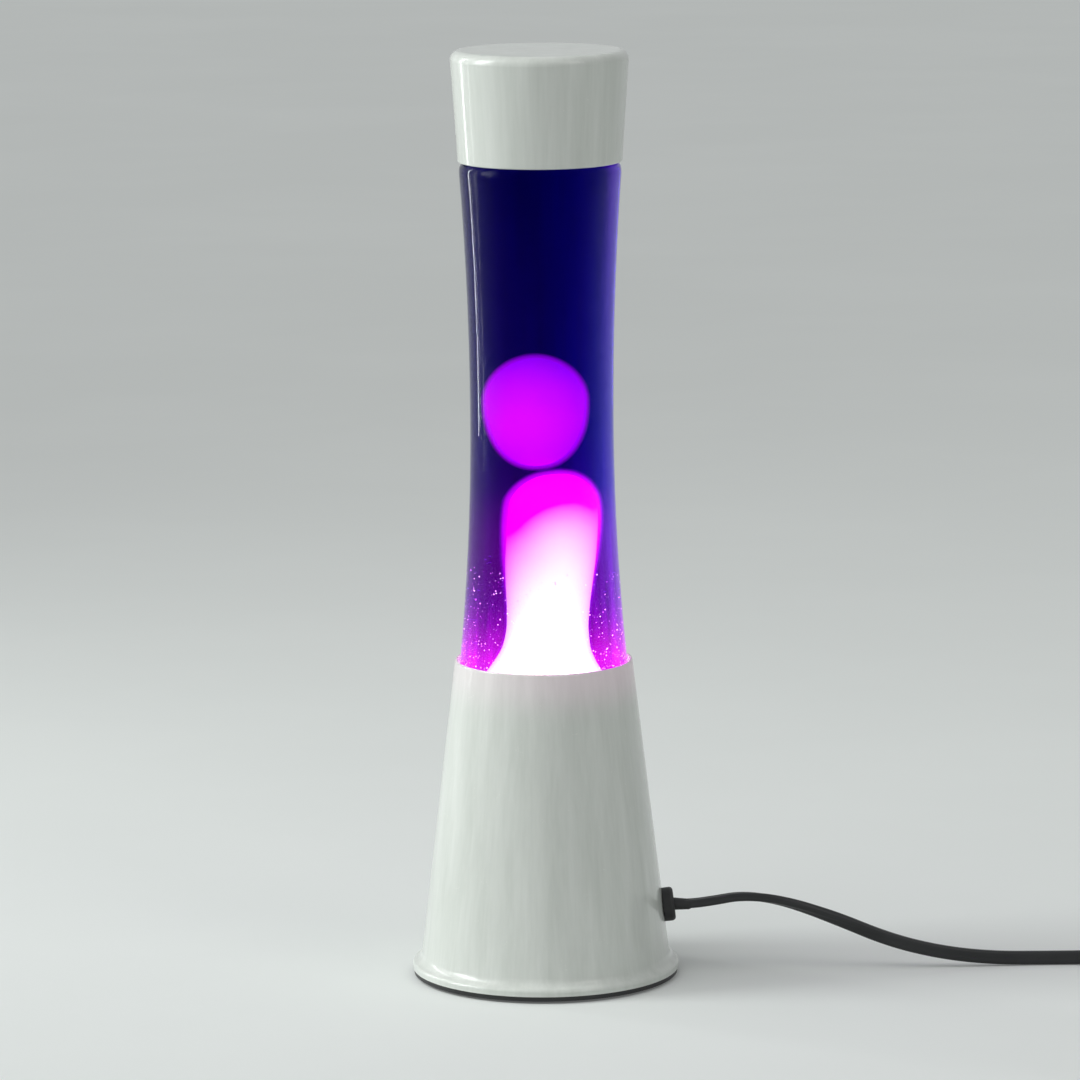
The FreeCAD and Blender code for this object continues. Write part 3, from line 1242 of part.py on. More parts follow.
def make_bottle_glass():
    inner_foot = f"({FOOT_RADIUS} - glass_wall)"
    inner_heel = "(heel_radius - glass_wall / 2)"
    floor = f"({BOTTLE_BOTTOM} + glass_floor)"
    turn_in = "(shoulder_radius - shoulder_round)"
    grip = f"({NECK_TOP} - finish_height - heel_radius / 4)"
    lip = "(heel_radius / 4)"
    return revolved("bottle_glass", [
        ("0", BOTTLE_BOTTOM),
        (f"{FOOT_RADIUS} - heel_radius", BOTTLE_BOTTOM, "heel_radius"),
        (FOOT_RADIUS, f"{BOTTLE_BOTTOM} + heel_radius"),
        (FOOT_RADIUS, FOOT_TOP, f"-{LOWER_BEND}"),
        ("waist_radius", WAIST, f"-{UPPER_BEND}"),
        ("shoulder_radius", SHOULDER, "shoulder_round"),
        (turn_in, f"{SHOULDER} + shoulder_round"),
        ("dome_radius", DOME_ROOT, f"-({NECK_BASE} - {DOME_ROOT} + 1)"),
        ("neck_radius", NECK_BASE),
        ("neck_radius", grip),
        (FINISH_RADIUS, f"{grip} + {lip}"),
        (FINISH_RADIUS, f"{NECK_TOP} - {lip}", lip),
        (f"{FINISH_RADIUS} - {lip}", NECK_TOP),
        (MOUTH_RADIUS, NECK_TOP),
        (MOUTH_RADIUS, NECK_BASE),
        ("dome_radius - glass_wall / 2", f"{DOME_ROOT} - glass_wall"),
        (turn_in, f"{SHOULDER} + shoulder_round - glass_wall", "-(shoulder_round - glass_wall)"),
        ("shoulder_radius - glass_wall", SHOULDER, UPPER_BEND),
        ("waist_radius - glass_wall", WAIST, LOWER_BEND),
        (inner_foot, FOOT_TOP),
        (inner_foot, f"{floor} + {inner_heel}", f"-{inner_heel}"),
        (f"{inner_foot} - {inner_heel}", floor),
        ("0", floor),
    ])


def make_crown_cap():
    """A crown cork: a flat top whose skirt spreads to a fluted edge."""
    inside = f"({FINISH_RADIUS} + running_gap)"
    top, low = CROWN_TOP, f"({CROWN_TOP} - crown_height)"
    neck = f"({top} - crown_height * 0.35)"
    cup = revolved("crown_cap", [
        ("0", f"{top} - crown_sheet"),
        (inside, f"{top} - crown_sheet"),
        (inside, neck),
        (f"{CROWN_RADIUS} - crown_sheet", low),
        (CROWN_RADIUS, low),
        (f"{inside} + crown_sheet", neck),
        (f"{inside} + crown_sheet", f"{top} - crown_sheet"),
        (inside, top),
        ("0", top),
    ])
    flute_sketch = cup.newObject("Sketcher::SketchObject", "flute_plan")
    plane = next(f for f in cup.Origin.OriginFeatures if f.Role == "XY_Plane")
    flute_sketch.AttachmentSupport = (plane, [""])
    flute_sketch.MapMode = "FlatFace"
    radius, reach = f"{CROWN_RADIUS} * 0.06", f"{CROWN_RADIUS} + crown_sheet"
    middle = Vector(number(reach), 0, 0)
    flute_sketch.addGeometry(Part.Circle(middle, Vector(0, 0, 1), number(radius)), False)
    flute_sketch.addConstraint(Constraint("PointOnObject", 0, 3, -1))
    place = flute_sketch.addConstraint(Constraint("DistanceX", -1, 1, 0, 3, middle.x))
    flute_sketch.setExpression(f"Constraints[{place}]", formula(reach))
    place = flute_sketch.addConstraint(Constraint("Radius", 0, number(radius)))
    flute_sketch.setExpression(f"Constraints[{place}]", formula(radius))
    doc.recompute()
    before = cup.Tip.Shape.Volume
    flute = cup.newObject("PartDesign::Pocket", "flute")
    flute.Profile = flute_sketch
    flute.Type = "ThroughAll"
    flute.Reversed = True
    cup.Tip = flute
    doc.recompute()
    print(f"crown_cap: one flute takes {before - flute.Shape.Volume:.3f} mm3")
    pattern = cup.newObject("PartDesign::PolarPattern", "flutes")
    pattern.Originals = [flute]
    pattern.Axis = (flute_sketch, ["N_Axis"])
    pattern.Angle = 360
    pattern.setExpression("Occurrences", formula("flute_count"))
    cup.Tip = pattern
    return cup


def make_crown_liner():
    return cylinder("crown_liner", FINISH_RADIUS, "crown_liner_thickness", z=NECK_TOP)


def inside_glass(gap):
    """The bottle's inner wall from its floor to the shoulder, stood off by a gap, as corners."""
    wall = f"(glass_wall + {gap})"
    foot = f"({FOOT_RADIUS} - {wall})"
    heel = "(heel_radius - glass_wall / 2)"
    floor = f"({BOTTLE_BOTTOM} + glass_floor + {gap})"
    return wall, foot, heel, floor


def make_heating_ring():
    """The closed ring of wire that lies on the bottle's floor and gathers the wax."""
    ring = doc.addObject("Part::Torus", "heating_ring")
    bind(ring, {"Radius1": "ring_radius", "Radius2": "ring_thickness"})
    return move(ring, z=f"{BOTTLE_BOTTOM} + glass_floor + liquid_gap + ring_thickness")


def make_wax_column(ring):
    wall, foot, heel, floor = inside_glass("liquid_gap / 2")
    pool = revolved("wax_pool", [
        ("0", floor),
        (f"{foot} - {heel}", floor, heel),
        (foot, f"{floor} + {heel}"),
        (foot, POOL),
        ("0", POOL),
    ])
    spread = f"({foot} - heel_radius / 2)"
    half_swell = f"(({BELLY} - {SWELL_START}) / 2)"
    half_step = "((column_belly - column_waist) / 2)"
    swell = bend(half_swell, half_step)
    foot_level = f"({POOL} - {spread} * sin(column_lean * 1 deg))"
    flare = bend(f"{FLARE_TOP} - {foot_level}", f"{spread} - column_waist")
    sink = f"({POOL} - heel_radius)"
    top_round = bend("column_crown_radius", f"{COLUMN_TOP} - {COLUMN_SHOULDER}")

    def local(height):
        return f"({height}) - {sink}"

    stem = revolved("wax_stem", [
        ("0", "0"),
        (spread, "0"),
        (spread, local(foot_level), f"-{flare}"),
        ("column_waist", local(FLARE_TOP)),
        ("column_waist", local(SWELL_START), f"-{swell}"),
        (f"column_waist + {half_step}", local(f"{SWELL_START} + {half_swell}"), swell),
        ("column_belly", local(BELLY), "column_belly * 1.25"),
        ("column_crown_radius", local(COLUMN_SHOULDER), top_round),
        ("0", local(COLUMN_TOP)),
    ])
    turned(stem, Vector(0, 1, 0), "column_lean * 1 deg")
    move(stem, "column_offset", "0", sink)
    return cut("wax_column", fused("wax_blank", pool, stem), ring)


def make_wax_ball():
    """An egg with its broad end up, drawn with two arcs above its widest place and two below."""
    high, low = f"({BALL_MIDDLE} + ball_rise)", f"({BALL_MIDDLE} - ball_drop)"
    cheek, drawn_in = "(ball_radius * 0.78)", "(ball_radius * 0.22)"
    above, below = f"({BALL_MIDDLE} + ball_rise * 0.63)", f"({BALL_MIDDLE} - ball_drop * 0.63)"
    piece = revolved("wax_ball", [
        ("0", low, bend(cheek, f"{below} - {low}")),
        (cheek, below, bend(f"{BALL_MIDDLE} - {below}", drawn_in)),
        ("ball_radius", BALL_MIDDLE, bend(f"{above} - {BALL_MIDDLE}", drawn_in)),
        (cheek, above, bend(cheek, f"{high} - {above}")),
        ("0", high),
    ])
    return move(piece, "ball_offset")


def make_tinted_liquid(column):
    """The liquid above the wax pool, with a shaft as wide as the ball so that the ball can float up."""
    wall, foot, heel, floor = inside_glass("liquid_gap")
    turn_in = "(shoulder_radius - shoulder_round)"
    dome_low, dome_high = f"({SHOULDER} + shoulder_round - {wall})", f"({DOME_ROOT} - {wall})"
    in_the_dome = f"(({turn_in} - dome_radius + glass_wall / 2) / ({dome_high} - {dome_low}))"
    full = revolved("liquid_full", [
        ("0", floor),
        (f"{foot} - {heel}", floor, heel),
        (foot, f"{floor} + {heel}"),
        (foot, FOOT_TOP, f"-{LOWER_BEND}"),
        (f"waist_radius - {wall}", WAIST, f"-{UPPER_BEND}"),
        (f"shoulder_radius - {wall}", SHOULDER, f"(shoulder_round - {wall})"),
        (turn_in, dome_low),
        (f"{turn_in} - {in_the_dome} * ({LIQUID_LEVEL} - {dome_low})", LIQUID_LEVEL),
        ("0", LIQUID_LEVEL),
    ])
    low = f"({BALL_MIDDLE} - ball_drop - 2 * running_gap)"
    high = f"({BALL_MIDDLE} + ball_rise + ball_travel + 2 * running_gap)"
    shaft = cylinder("ball_shaft", "ball_radius + running_gap", f"{high} - {low}", "ball_offset", "0", low)
    filled = cut("liquid_round_wax", full, column)
    pool = cylinder("below_the_liquid", FOOT_RADIUS, POOL, z="0")
    return cut("tinted_liquid", filled, shaft, pool)


# The cap on top.

def make_top_cap():
    lip = "(cap_hem / 2)"
    rise = f"({CAP_BOTTOM} + cap_hem / 2)"
    slope = f"(({CAP_RADIUS} - {CAP_MOUTH}) / ({CAP_TOP} - cap_round - {rise}))"
    hem_top = f"({CAP_BOTTOM} + cap_hem_height)"
    inner_round = "(cap_round - cap_wall)"
    return revolved("top_cap", [
        (CAP_MOUTH, rise),
        (CAP_RADIUS, f"{CAP_TOP} - cap_round", "cap_round"),
        (f"{CAP_RADIUS} - cap_round", CAP_TOP),
        ("0", CAP_TOP),
        ("0", CAP_CEILING),
        (f"{CAP_RADIUS} - cap_round", CAP_CEILING, f"-{inner_round}"),
        (f"{CAP_RADIUS} - cap_wall", f"{CAP_TOP} - cap_round"),
        (f"{CAP_MOUTH} - cap_wall + {slope} * ({hem_top} - {rise})", hem_top),
        (f"{CAP_MOUTH} - cap_hem", hem_top),
        (f"{CAP_MOUTH} - cap_hem", rise, lip),
        (f"{CAP_MOUTH} - {lip}", CAP_BOTTOM, lip),
    ])


def make_cap_insert():
    """A plastic spigot glued under the cap's top: its sleeve centres the cap on the crown cap, and its
    shelf stands on it."""
    under = f"({CAP_CEILING} - insert_thickness)"
    bore = f"({CROWN_RADIUS} + insert_sleeve_gap)"
    sleeve = f"({bore} + insert_sleeve_wall)"
    shelf = f"({CROWN_TOP} + running_gap)"
    return revolved("cap_insert", [
        ("0", shelf),
        (bore, shelf),
        (bore, f"{under} - insert_sleeve_depth"),
        (sleeve, f"{under} - insert_sleeve_depth"),
        (sleeve, under),
        (f"{sleeve} + insert_flange", under),
        (f"{sleeve} + insert_flange", CAP_CEILING),
        (bore, CAP_CEILING),
        (bore, f"{shelf} + insert_thickness"),
        ("0", f"{shelf} + insert_thickness"),
    ])


def build():
    cord = number(CORD_RADIUS)
    ring = make_heating_ring()
    column = make_wax_column(ring)
    coil, coil_end, coil_heading = make_coil()
    pieces = [
        make_base_shell(), make_bottle_cradle(), make_bottom_plate(), make_rubber_feet(), make_plate_tabs(),
        make_plate_screws(), make_holder_bracket(), make_bracket_screws(), make_holder_screws(),
        make_lampholder_body(), make_screw_shell(), make_centre_contact(), make_holder_terminals(),
        make_wire("live_wire", 1), make_wire("neutral_wire", -1), make_cord_gland(), make_gland_nut(),
        make_cord_sheath_end(), tube("cord_lead", LEAD_ROUTE, cord), tube("cord_tail", TAIL_ROUTE, cord),
        coil, make_cord_end(coil_end, coil_heading), make_lower_case(), make_upper_case(),
        make_switch_screws(), make_switch_terminals(), make_switch_wires(), make_rocker(),
        make_contact_bridge(), make_plug_body(), make_plug_pins(), make_pin_sleeves(),
        make_bulb_envelope(), make_bulb_cap(), make_bulb_insulator(), make_bulb_tip(), make_bulb_stem(),
        make_bulb_supports(), make_filament(), make_bottle_glass(), make_crown_cap(), make_crown_liner(),
        make_tinted_liquid(column), column, make_wax_ball(), ring, make_top_cap(), make_cap_insert(),
    ]
    doc.recompute()
    for piece in doc.Objects:
        if "Invalid" in piece.State or "Error" in piece.State:
            raise RuntimeError(f"{piece.Label} is {piece.State}")
    for piece in pieces:
        shape = piece.Shape
        if shape.isNull() or not shape.isValid() or not shape.Solids:
            raise RuntimeError(f"{piece.Label} has no valid solid")
    return pieces


pieces = build()
os.makedirs("parts", exist_ok=True)
for piece in pieces:
    piece.Shape.exportStep(f"parts/{piece.Label}.step")
print(f"{len(pieces)} sub-parts, {sum(len(piece.Shape.Solids) for piece in pieces)} solids")
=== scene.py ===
# %% [markdown]
# # A liquid motion lamp, dressed for the camera
#
# The lamp's exact solids come in as a fixed frame. Each cell below gives one piece or one finish its
# look: what the thing is on a real lamp, how it could be made in Blender, and why this way was chosen.

# %% Load the frame
import math
import json
import random

import bmesh
import bpy
from mathutils import Matrix, Vector


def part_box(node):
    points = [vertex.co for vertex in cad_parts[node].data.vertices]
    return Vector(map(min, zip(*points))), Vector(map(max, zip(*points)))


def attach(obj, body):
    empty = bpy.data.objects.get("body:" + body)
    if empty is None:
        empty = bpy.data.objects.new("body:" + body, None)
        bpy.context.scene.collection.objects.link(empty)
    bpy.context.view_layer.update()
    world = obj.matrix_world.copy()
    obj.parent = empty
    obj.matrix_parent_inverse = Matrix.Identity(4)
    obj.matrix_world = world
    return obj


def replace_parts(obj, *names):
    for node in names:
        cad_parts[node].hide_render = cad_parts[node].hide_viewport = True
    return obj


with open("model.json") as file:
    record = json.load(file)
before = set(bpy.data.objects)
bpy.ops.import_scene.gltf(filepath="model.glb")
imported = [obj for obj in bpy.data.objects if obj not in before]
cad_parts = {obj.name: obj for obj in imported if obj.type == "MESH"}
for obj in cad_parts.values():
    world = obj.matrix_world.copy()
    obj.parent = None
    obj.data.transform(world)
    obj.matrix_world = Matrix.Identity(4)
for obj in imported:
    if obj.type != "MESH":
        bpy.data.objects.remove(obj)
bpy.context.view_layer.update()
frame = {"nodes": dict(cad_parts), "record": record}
nodes = frame["nodes"]
slot_of = {part["node"]: part["material_slot"] for part in frame["record"]["subparts"]}

# %% [markdown]
# ## The camera
#
# A camera can be matched by eye, or solved from things whose shape is known. The foot, the rim and the
# cap are circles, so their ellipses in the photograph give the camera's height and tilt, and a long lens
# 2.5 m away gives the faint perspective. The photograph leans by 0.4 degrees, and so does this.

# %% The camera
MM = 0.001
CAMERA_AWAY, CAMERA_UP, LENS = 2.4069, 0.6029, 193.54
TILT_DOWN, LEAN_LEFT, SWING = 9.813, 0.419, 0.028


def turned(degrees, axis):
    """A turn round one axis."""
    return Matrix.Rotation(math.radians(degrees), 4, axis)


def put_in_scene(name, data):
    """Makes an object of its data."""
    made = bpy.data.objects.new(name, data)
    bpy.context.scene.collection.objects.link(made)
    return made


camera_data = bpy.data.cameras.new("photograph")
camera_data.sensor_fit, camera_data.sensor_width, camera_data.lens = "HORIZONTAL", 36.0, LENS
camera_data.clip_start, camera_data.clip_end = 0.05, 60.0
camera = put_in_scene("photograph", camera_data)
camera.matrix_world = (
    Matrix.Translation((0.0, -CAMERA_AWAY, CAMERA_UP)) @ turned(SWING, "Z")
    @ turned(90.0 - TILT_DOWN, "X") @ turned(-LEAN_LEFT, "Z")
)
bpy.context.scene.camera = camera
print(f"camera {camera.matrix_world.translation.length:.2f} m from the lamp's foot")

# %% [markdown]
# ## Node helpers
#
# Materials are small graphs. One helper adds a node and fills its sockets, with values or with links,
# and another starts a material on the Principled shader. What is the same all over a surface is set on
# the shader, and what changes is linked in. No glowing skin is sampled as a lamp, which saves noise.


# %% Node helpers
def add_node(tree, kind, sockets=None, **settings):
    """Adds a node, applies its settings, and sets or links its sockets."""
    made = tree.nodes.new("ShaderNode" + kind)
    for name, value in settings.items():
        setattr(made, name, value)
    fill_in(tree, made, sockets or {})
    return made


def fill_in(tree, node, sockets):
    """Links each socket to what it is given, or sets its value."""
    for name, value in sockets.items():
        if isinstance(value, bpy.types.NodeSocket):
            tree.links.new(value, node.inputs[name])
        else:
            node.inputs[name].default_value = value


def new_finish(name, sockets):
    """A material with one Principled shader, and the tree it stands in."""
    material = bpy.data.materials.new(name)
    material.use_nodes = True
    material.cycles.emission_sampling = "NONE"
    tree = material.node_tree
    shader = next(n for n in tree.nodes if n.type == "BSDF_PRINCIPLED")
    fill_in(tree, shader, sockets)
    return material, tree, shader


def colour(red, green, blue):
    return (red, green, blue, 1.0)


WHITE, BLACK = colour(1.0, 1.0, 1.0), colour(0.0, 0.0, 0.0)


# %% The nodes that most finishes use
def calc(tree, operation, *values):
    """One sum on values and sockets."""
    return add_node(tree, "Math", dict(enumerate(values)), operation=operation).outputs[0]


def remap(tree, value, low, high, to_low=0.0, to_high=1.0, how="LINEAR"):
    """Turns a range of values into another one, and stops at its ends."""
    return add_node(tree, "MapRange", {
        "Value": value, "From Min": low, "From Max": high, "To Min": to_low, "To Max": to_high,
    }, interpolation_type=how).outputs[0]


def mixed(tree, share, first, second):
    """The first colour where the share is zero, and the second where it is one."""
    made = add_node(tree, "Mix", {"Factor": share, "A": first, "B": second}, data_type="RGBA")
    return made.outputs["Result"]


def ramp(tree, factor, stops):
    """A colour ramp from (place, colour) stops."""
    made = add_node(tree, "ValToRGB", {"Fac": factor})
    elements = made.color_ramp.elements
    while len(elements) < len(stops):
        elements.new(0.5)
    for element, (position, shade) in zip(elements, stops):
        element.position = position
        element.color = colour(*shade)
    return made.outputs["Color"]


def place_on(tree):
    """The place on the object, in metres."""
    return add_node(tree, "TexCoord").outputs["Object"]


def parts(tree, place):
    """The X, Y and Z of a place."""
    return add_node(tree, "SeparateXYZ", {0: place}).outputs


def noise(tree, place, scale, detail, softness=0.5):
    """Soft clouds, so many of them in a metre."""
    return add_node(tree, "TexNoise", {
        "Vector": place, "Scale": scale, "Detail": detail, "Roughness": softness}).outputs["Fac"]


# %% [markdown]
# ## Three effects that several materials share
#
# Most real surfaces have a fine relief: the orange peel of sprayed enamel, or the sparked grain of a
# plastic mould. Handled things have smudges that change how sharply they reflect. Turned and drawn
# metal has lines that run one way. Each effect is a node group, so that it is built once and every
# material sets its own size and strength.


# %% How an effect is made and placed
def new_effect(name, inputs, outputs):
    """An empty node group with named inputs, which have a starting value, and named outputs."""
    group = bpy.data.node_groups.new(name, "ShaderNodeTree")
    for label, value in inputs.items():
        kind = "NodeSocketVector" if isinstance(value, tuple) else "NodeSocketFloat"
        group.interface.new_socket(label, in_out="INPUT", socket_type=kind).default_value = value
    for label in outputs:
        group.interface.new_socket(label, in_out="OUTPUT", socket_type="NodeSocketFloat")
    given, result = group.nodes.new("NodeGroupInput"), group.nodes.new("NodeGroupOutput")
    return group, given.outputs, result, place_on(group)


def effect(tree, group, values):
    """Places an effect in a material with its own values, and gives back its outputs."""
    return add_node(tree, "Group", values, node_tree=group).outputs


# %% Fine relief: a bumpy skin of a given size
RELIEF, given, result, place = new_effect(
    "fine relief", {"Size mm": 1.0, "Softness": 0.5}, ("Height", "Mask"))
lumps = noise(RELIEF, place, calc(RELIEF, "DIVIDE", 1.0 / MM, given["Size mm"]), 2.0, given["Softness"])
fill_in(RELIEF, result, {"Height": lumps, "Mask": remap(RELIEF, lumps, 0.62, 0.70)})

# %% Smudges: broad soft patches where the surface has been touched
SMUDGES, given, result, place = new_effect(
    "smudges", {"Clean": 0.3, "Touched": 0.45, "Size mm": 30.0}, ("Roughness", "Mask"))
patches = noise(SMUDGES, place, calc(SMUDGES, "DIVIDE", 1.0 / MM, given["Size mm"]), 4.0, 0.6)
touched = remap(SMUDGES, patches, 0.42, 0.68)
fill_in(SMUDGES, result, {
    "Roughness": remap(SMUDGES, touched, 0.0, 1.0, given["Clean"], given["Touched"]), "Mask": touched})

# %% Drawn lines: streaks along one direction
UPRIGHT, AROUND = (1.0, 1.0, 0.02), (0.05, 0.05, 1.0)
LINES, given, result, place = new_effect("drawn lines", {"Across mm": 1.0, "Stretch": UPRIGHT}, ("Height",))
squeezed = add_node(LINES, "VectorMath", {0: place, 1: given["Stretch"]}, operation="MULTIPLY").outputs[0]
streaks = noise(LINES, squeezed, calc(LINES, "DIVIDE", 1.0 / MM, given["Across mm"]), 3.0, 0.6)
fill_in(LINES, result, {"Height": streaks})
print("shared effects:", ", ".join(group.name for group in (RELIEF, SMUDGES, LINES)))

# %% [markdown]
# ## Opaque finishes
#
# Plastics, rubber, porcelain and metals differ in colour, in how sharply they reflect and in the size of
# their grain. One function builds them all from those values, so that each finish is a single row.


# %% A finish with grain, smudges and drawn lines
PATCH_MM = 18.0


def bumped(tree, shader, height, depth_mm):
    """Raises the surface by a height, at most this many millimetres."""
    bump = add_node(tree, "Bump", {"Strength": 1.0, "Distance": depth_mm * MM, "Height": height})
    fill_in(tree, shader, {"Normal": bump.outputs["Normal"]})


def smudged(tree, shader, clean, touched, patch_mm):
    """Gives a surface its smudges, and says where they are."""
    smudges = effect(tree, SMUDGES, {"Clean": clean, "Touched": touched, "Size mm": patch_mm})
    fill_in(tree, shader, {"Roughness": smudges["Roughness"]})
    return smudges["Mask"]


def grained(name, dark, light, clean, touched, grain_mm, depth_mm, sockets=None, lines_mm=0.0):
    """A finish that drifts between two colours, with smudges in its gloss and grain in its relief."""
    material, tree, shader = new_finish(name, sockets or {})
    height = effect(tree, RELIEF, {"Size mm": grain_mm})["Height"]
    mask = smudged(tree, shader, clean, touched, PATCH_MM)
    fill_in(tree, shader, {"Base Color": mixed(tree, mask, colour(*dark), colour(*light))})
    if lines_mm:
        drawn = effect(tree, LINES, {"Across mm": lines_mm, "Stretch": AROUND})
        height = calc(tree, "ADD", drawn["Height"], height)
    bumped(tree, shader, height, depth_mm)
    return material


METAL, GLAZE = {"Metallic": 1.0}, {"Coat Weight": 0.6, "Coat Roughness": 0.05}
LIT = {"Metallic": 1.0, "Emission Color": colour(1.0, 0.62, 0.28), "Emission Strength": 6.0}
finish = {slot: grained(*row) for slot, *row in (
    ("black_plastic", "sparked black plastic", (0.018, 0.018, 0.020), (0.030, 0.030, 0.032), 0.42, 0.55,
     0.35, 0.03),
    ("black_rubber", "black rubber", (0.014, 0.014, 0.015), (0.026, 0.026, 0.027), 0.48, 0.66, 0.5, 0.02),
    ("cord_sheath", "black cord sheath", (0.014, 0.015, 0.016), (0.024, 0.025, 0.026), 0.36, 0.48, 0.7, 0.03),
    ("live_sheath", "brown core", (0.16, 0.065, 0.025), (0.20, 0.085, 0.035), 0.35, 0.5, 0.6, 0.01),
    ("neutral_sheath", "blue core", (0.02, 0.09, 0.36), (0.03, 0.13, 0.44), 0.35, 0.5, 0.6, 0.01),
    ("white_plastic", "white plastic", (0.74, 0.74, 0.70), (0.82, 0.82, 0.79), 0.38, 0.5, 0.4, 0.02),
    ("sealing_plastic", "sealing disc", (0.50, 0.52, 0.50), (0.60, 0.62, 0.60), 0.45, 0.6, 0.5, 0.02),
    ("porcelain", "porcelain", (0.80, 0.79, 0.75), (0.87, 0.86, 0.83), 0.16, 0.3, 1.4, 0.03, GLAZE),
    ("black_glass", "vitreous insulator", (0.02, 0.02, 0.03), (0.04, 0.03, 0.05), 0.12, 0.22, 0.9, 0.03),
    ("steel", "drawn steel", (0.50, 0.50, 0.51), (0.62, 0.62, 0.62), 0.26, 0.42, 0.5, 0.02, METAL, 0.6),
    ("zinc_screws", "zinc", (0.56, 0.58, 0.60), (0.70, 0.71, 0.70), 0.28, 0.45, 0.3, 0.02, METAL),
    ("brass", "brass", (0.62, 0.42, 0.14), (0.74, 0.54, 0.22), 0.22, 0.4, 0.4, 0.015, METAL, 0.6),
    ("bulb_metal", "aluminium", (0.66, 0.66, 0.66), (0.78, 0.78, 0.78), 0.25, 0.4, 0.5, 0.02, METAL, 0.6),
    ("crown_tin", "lacquered tin", (0.60, 0.52, 0.34), (0.72, 0.64, 0.44), 0.18, 0.34, 0.8, 0.02, METAL),
    ("nickel_pins", "nickel", (0.70, 0.68, 0.63), (0.80, 0.78, 0.74), 0.16, 0.3, 0.5, 0.01, METAL),
    ("tungsten", "lit tungsten", (0.30, 0.28, 0.25), (0.40, 0.36, 0.32), 0.4, 0.5, 0.1, 0.005, LIT),
)}
print(f"{len(finish)} opaque finishes")

# %% [markdown]
# ## The enamel
#
# Base and cap are sheet metal with a glossy off-white enamel. The spray leaves orange peel, a slow
# ripple of about two millimetres, and the drawn metal below shows as upright streaks, broad ones and
# fine ones, in the tone and in the reflections. A clear coat on the shader gives the sharp reflection
# over a softer colour. A few pale specks of dust lie in the paint, and a faint pink glow just under the
# rim stands for the light of the bottle.

# %% The enamel
enamel, tree, shader = new_finish("ivory enamel", {
    "Coat Weight": 0.65, "Coat Roughness": 0.06, "Coat IOR": 1.5, "Emission Strength": 1.0,
})
smudged(tree, shader, 0.30, 0.35, 60.0)
broad, fine = (effect(tree, LINES, {"Across mm": across})["Height"] for across in (9.0, 1.6))
drawn = calc(tree, "MULTIPLY_ADD", fine, 0.35, broad)
tone = ramp(tree, drawn, [(0.42, (0.70, 0.735, 0.685)), (0.92, (0.83, 0.86, 0.815))])
dust, sparse = (effect(tree, RELIEF, {"Size mm": size})["Mask"] for size in (0.7, 7.0))
specked = mixed(tree, calc(tree, "MULTIPLY", dust, sparse), tone, colour(0.88, 0.90, 0.85))
fill_in(tree, shader, {"Base Color": specked})
peel = effect(tree, RELIEF, {"Size mm": 2.6})["Height"]
bumped(tree, shader, calc(tree, "MULTIPLY_ADD", drawn, 1.8, peel), 0.03)

# %% The pink light under the rim
PINK_FROM, RIM, UNDER_CAP = 112.0, 136.5, 200.0
height = parts(tree, place_on(tree))["Z"]
near_rim = calc(tree, "MULTIPLY", remap(tree, height, PINK_FROM * MM, RIM * MM, how="SMOOTHERSTEP"),
                calc(tree, "LESS_THAN", height, UNDER_CAP * MM))
fill_in(tree, shader, {"Emission Color": mixed(tree, near_rim, BLACK, colour(0.10, 0.035, 0.075))})
finish["ivory_paint"] = enamel
print("enamel ready")

# %% [markdown]
# ## The bulb
#
# A reflector bulb is mirrored inside up to its widest place and frosted above. Clear glass over real
# mirrors would be slow and noisy, and the frosting hides the inside anyway, so one opaque shader
# changes at that height: mirror below, and above it a white that glows as the lit bulb does.

# %% The bulb
MIRRORED_SHARE = 0.66
bulb_low, bulb_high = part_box("bulb_envelope")
widest = bulb_low.z + MIRRORED_SHARE * (bulb_high.z - bulb_low.z)
bulb_glass, tree, shader = new_finish("mirrored and frosted glass", {
    "Emission Strength": 2.5, "Coat Weight": 0.5, "Coat Roughness": 0.06,
})
frost = remap(tree, parts(tree, place_on(tree))["Z"], widest - 1.0 * MM, widest + 1.0 * MM)
fill_in(tree, shader, {
    "Metallic": calc(tree, "SUBTRACT", 1.0, frost),
    "Base Color": mixed(tree, frost, colour(0.80, 0.80, 0.80), colour(0.92, 0.90, 0.86)),
    "Emission Color": mixed(tree, frost, BLACK, colour(1.0, 0.72, 0.52)),
    "Roughness": remap(tree, frost, 0.0, 1.0, 0.12, 0.55),
})
finish["bulb_glass"] = bulb_glass
print(f"bulb frosted above {widest / MM:.0f} mm")

# %% [markdown]
# ## Turning pieces round the upright axis
#
# Bottle, liquid and wax are round, so each can be drawn as half an outline and turned, as on a lathe.
# Blender's Screw modifier does this too. Building the rings directly gives clean four-sided faces, lets
# an outline start and end on the axis, and leaves a plain mesh that can be bent afterwards.


# %% The lathe
def link(name, mesh, body, materials):
    """Makes a smooth piece of a mesh, with its finishes, and has it ride on its body."""
    mesh.shade_smooth()
    for material in materials:
        mesh.materials.append(material)
    made = put_in_scene(name, mesh)
    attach(made, body)
    return made


def built(name, build, body, materials):
    """Ends the building of a closed form, and links it."""
    bmesh.ops.recalc_face_normals(build, faces=build.faces)
    mesh = bpy.data.meshes.new(name)
    build.to_mesh(mesh)
    build.free()
    return link(name, mesh, body, materials)


def circle(count):
    """The turns, in radians, of so many places round a circle."""
    return [2 * math.pi * step / count for step in range(count)]


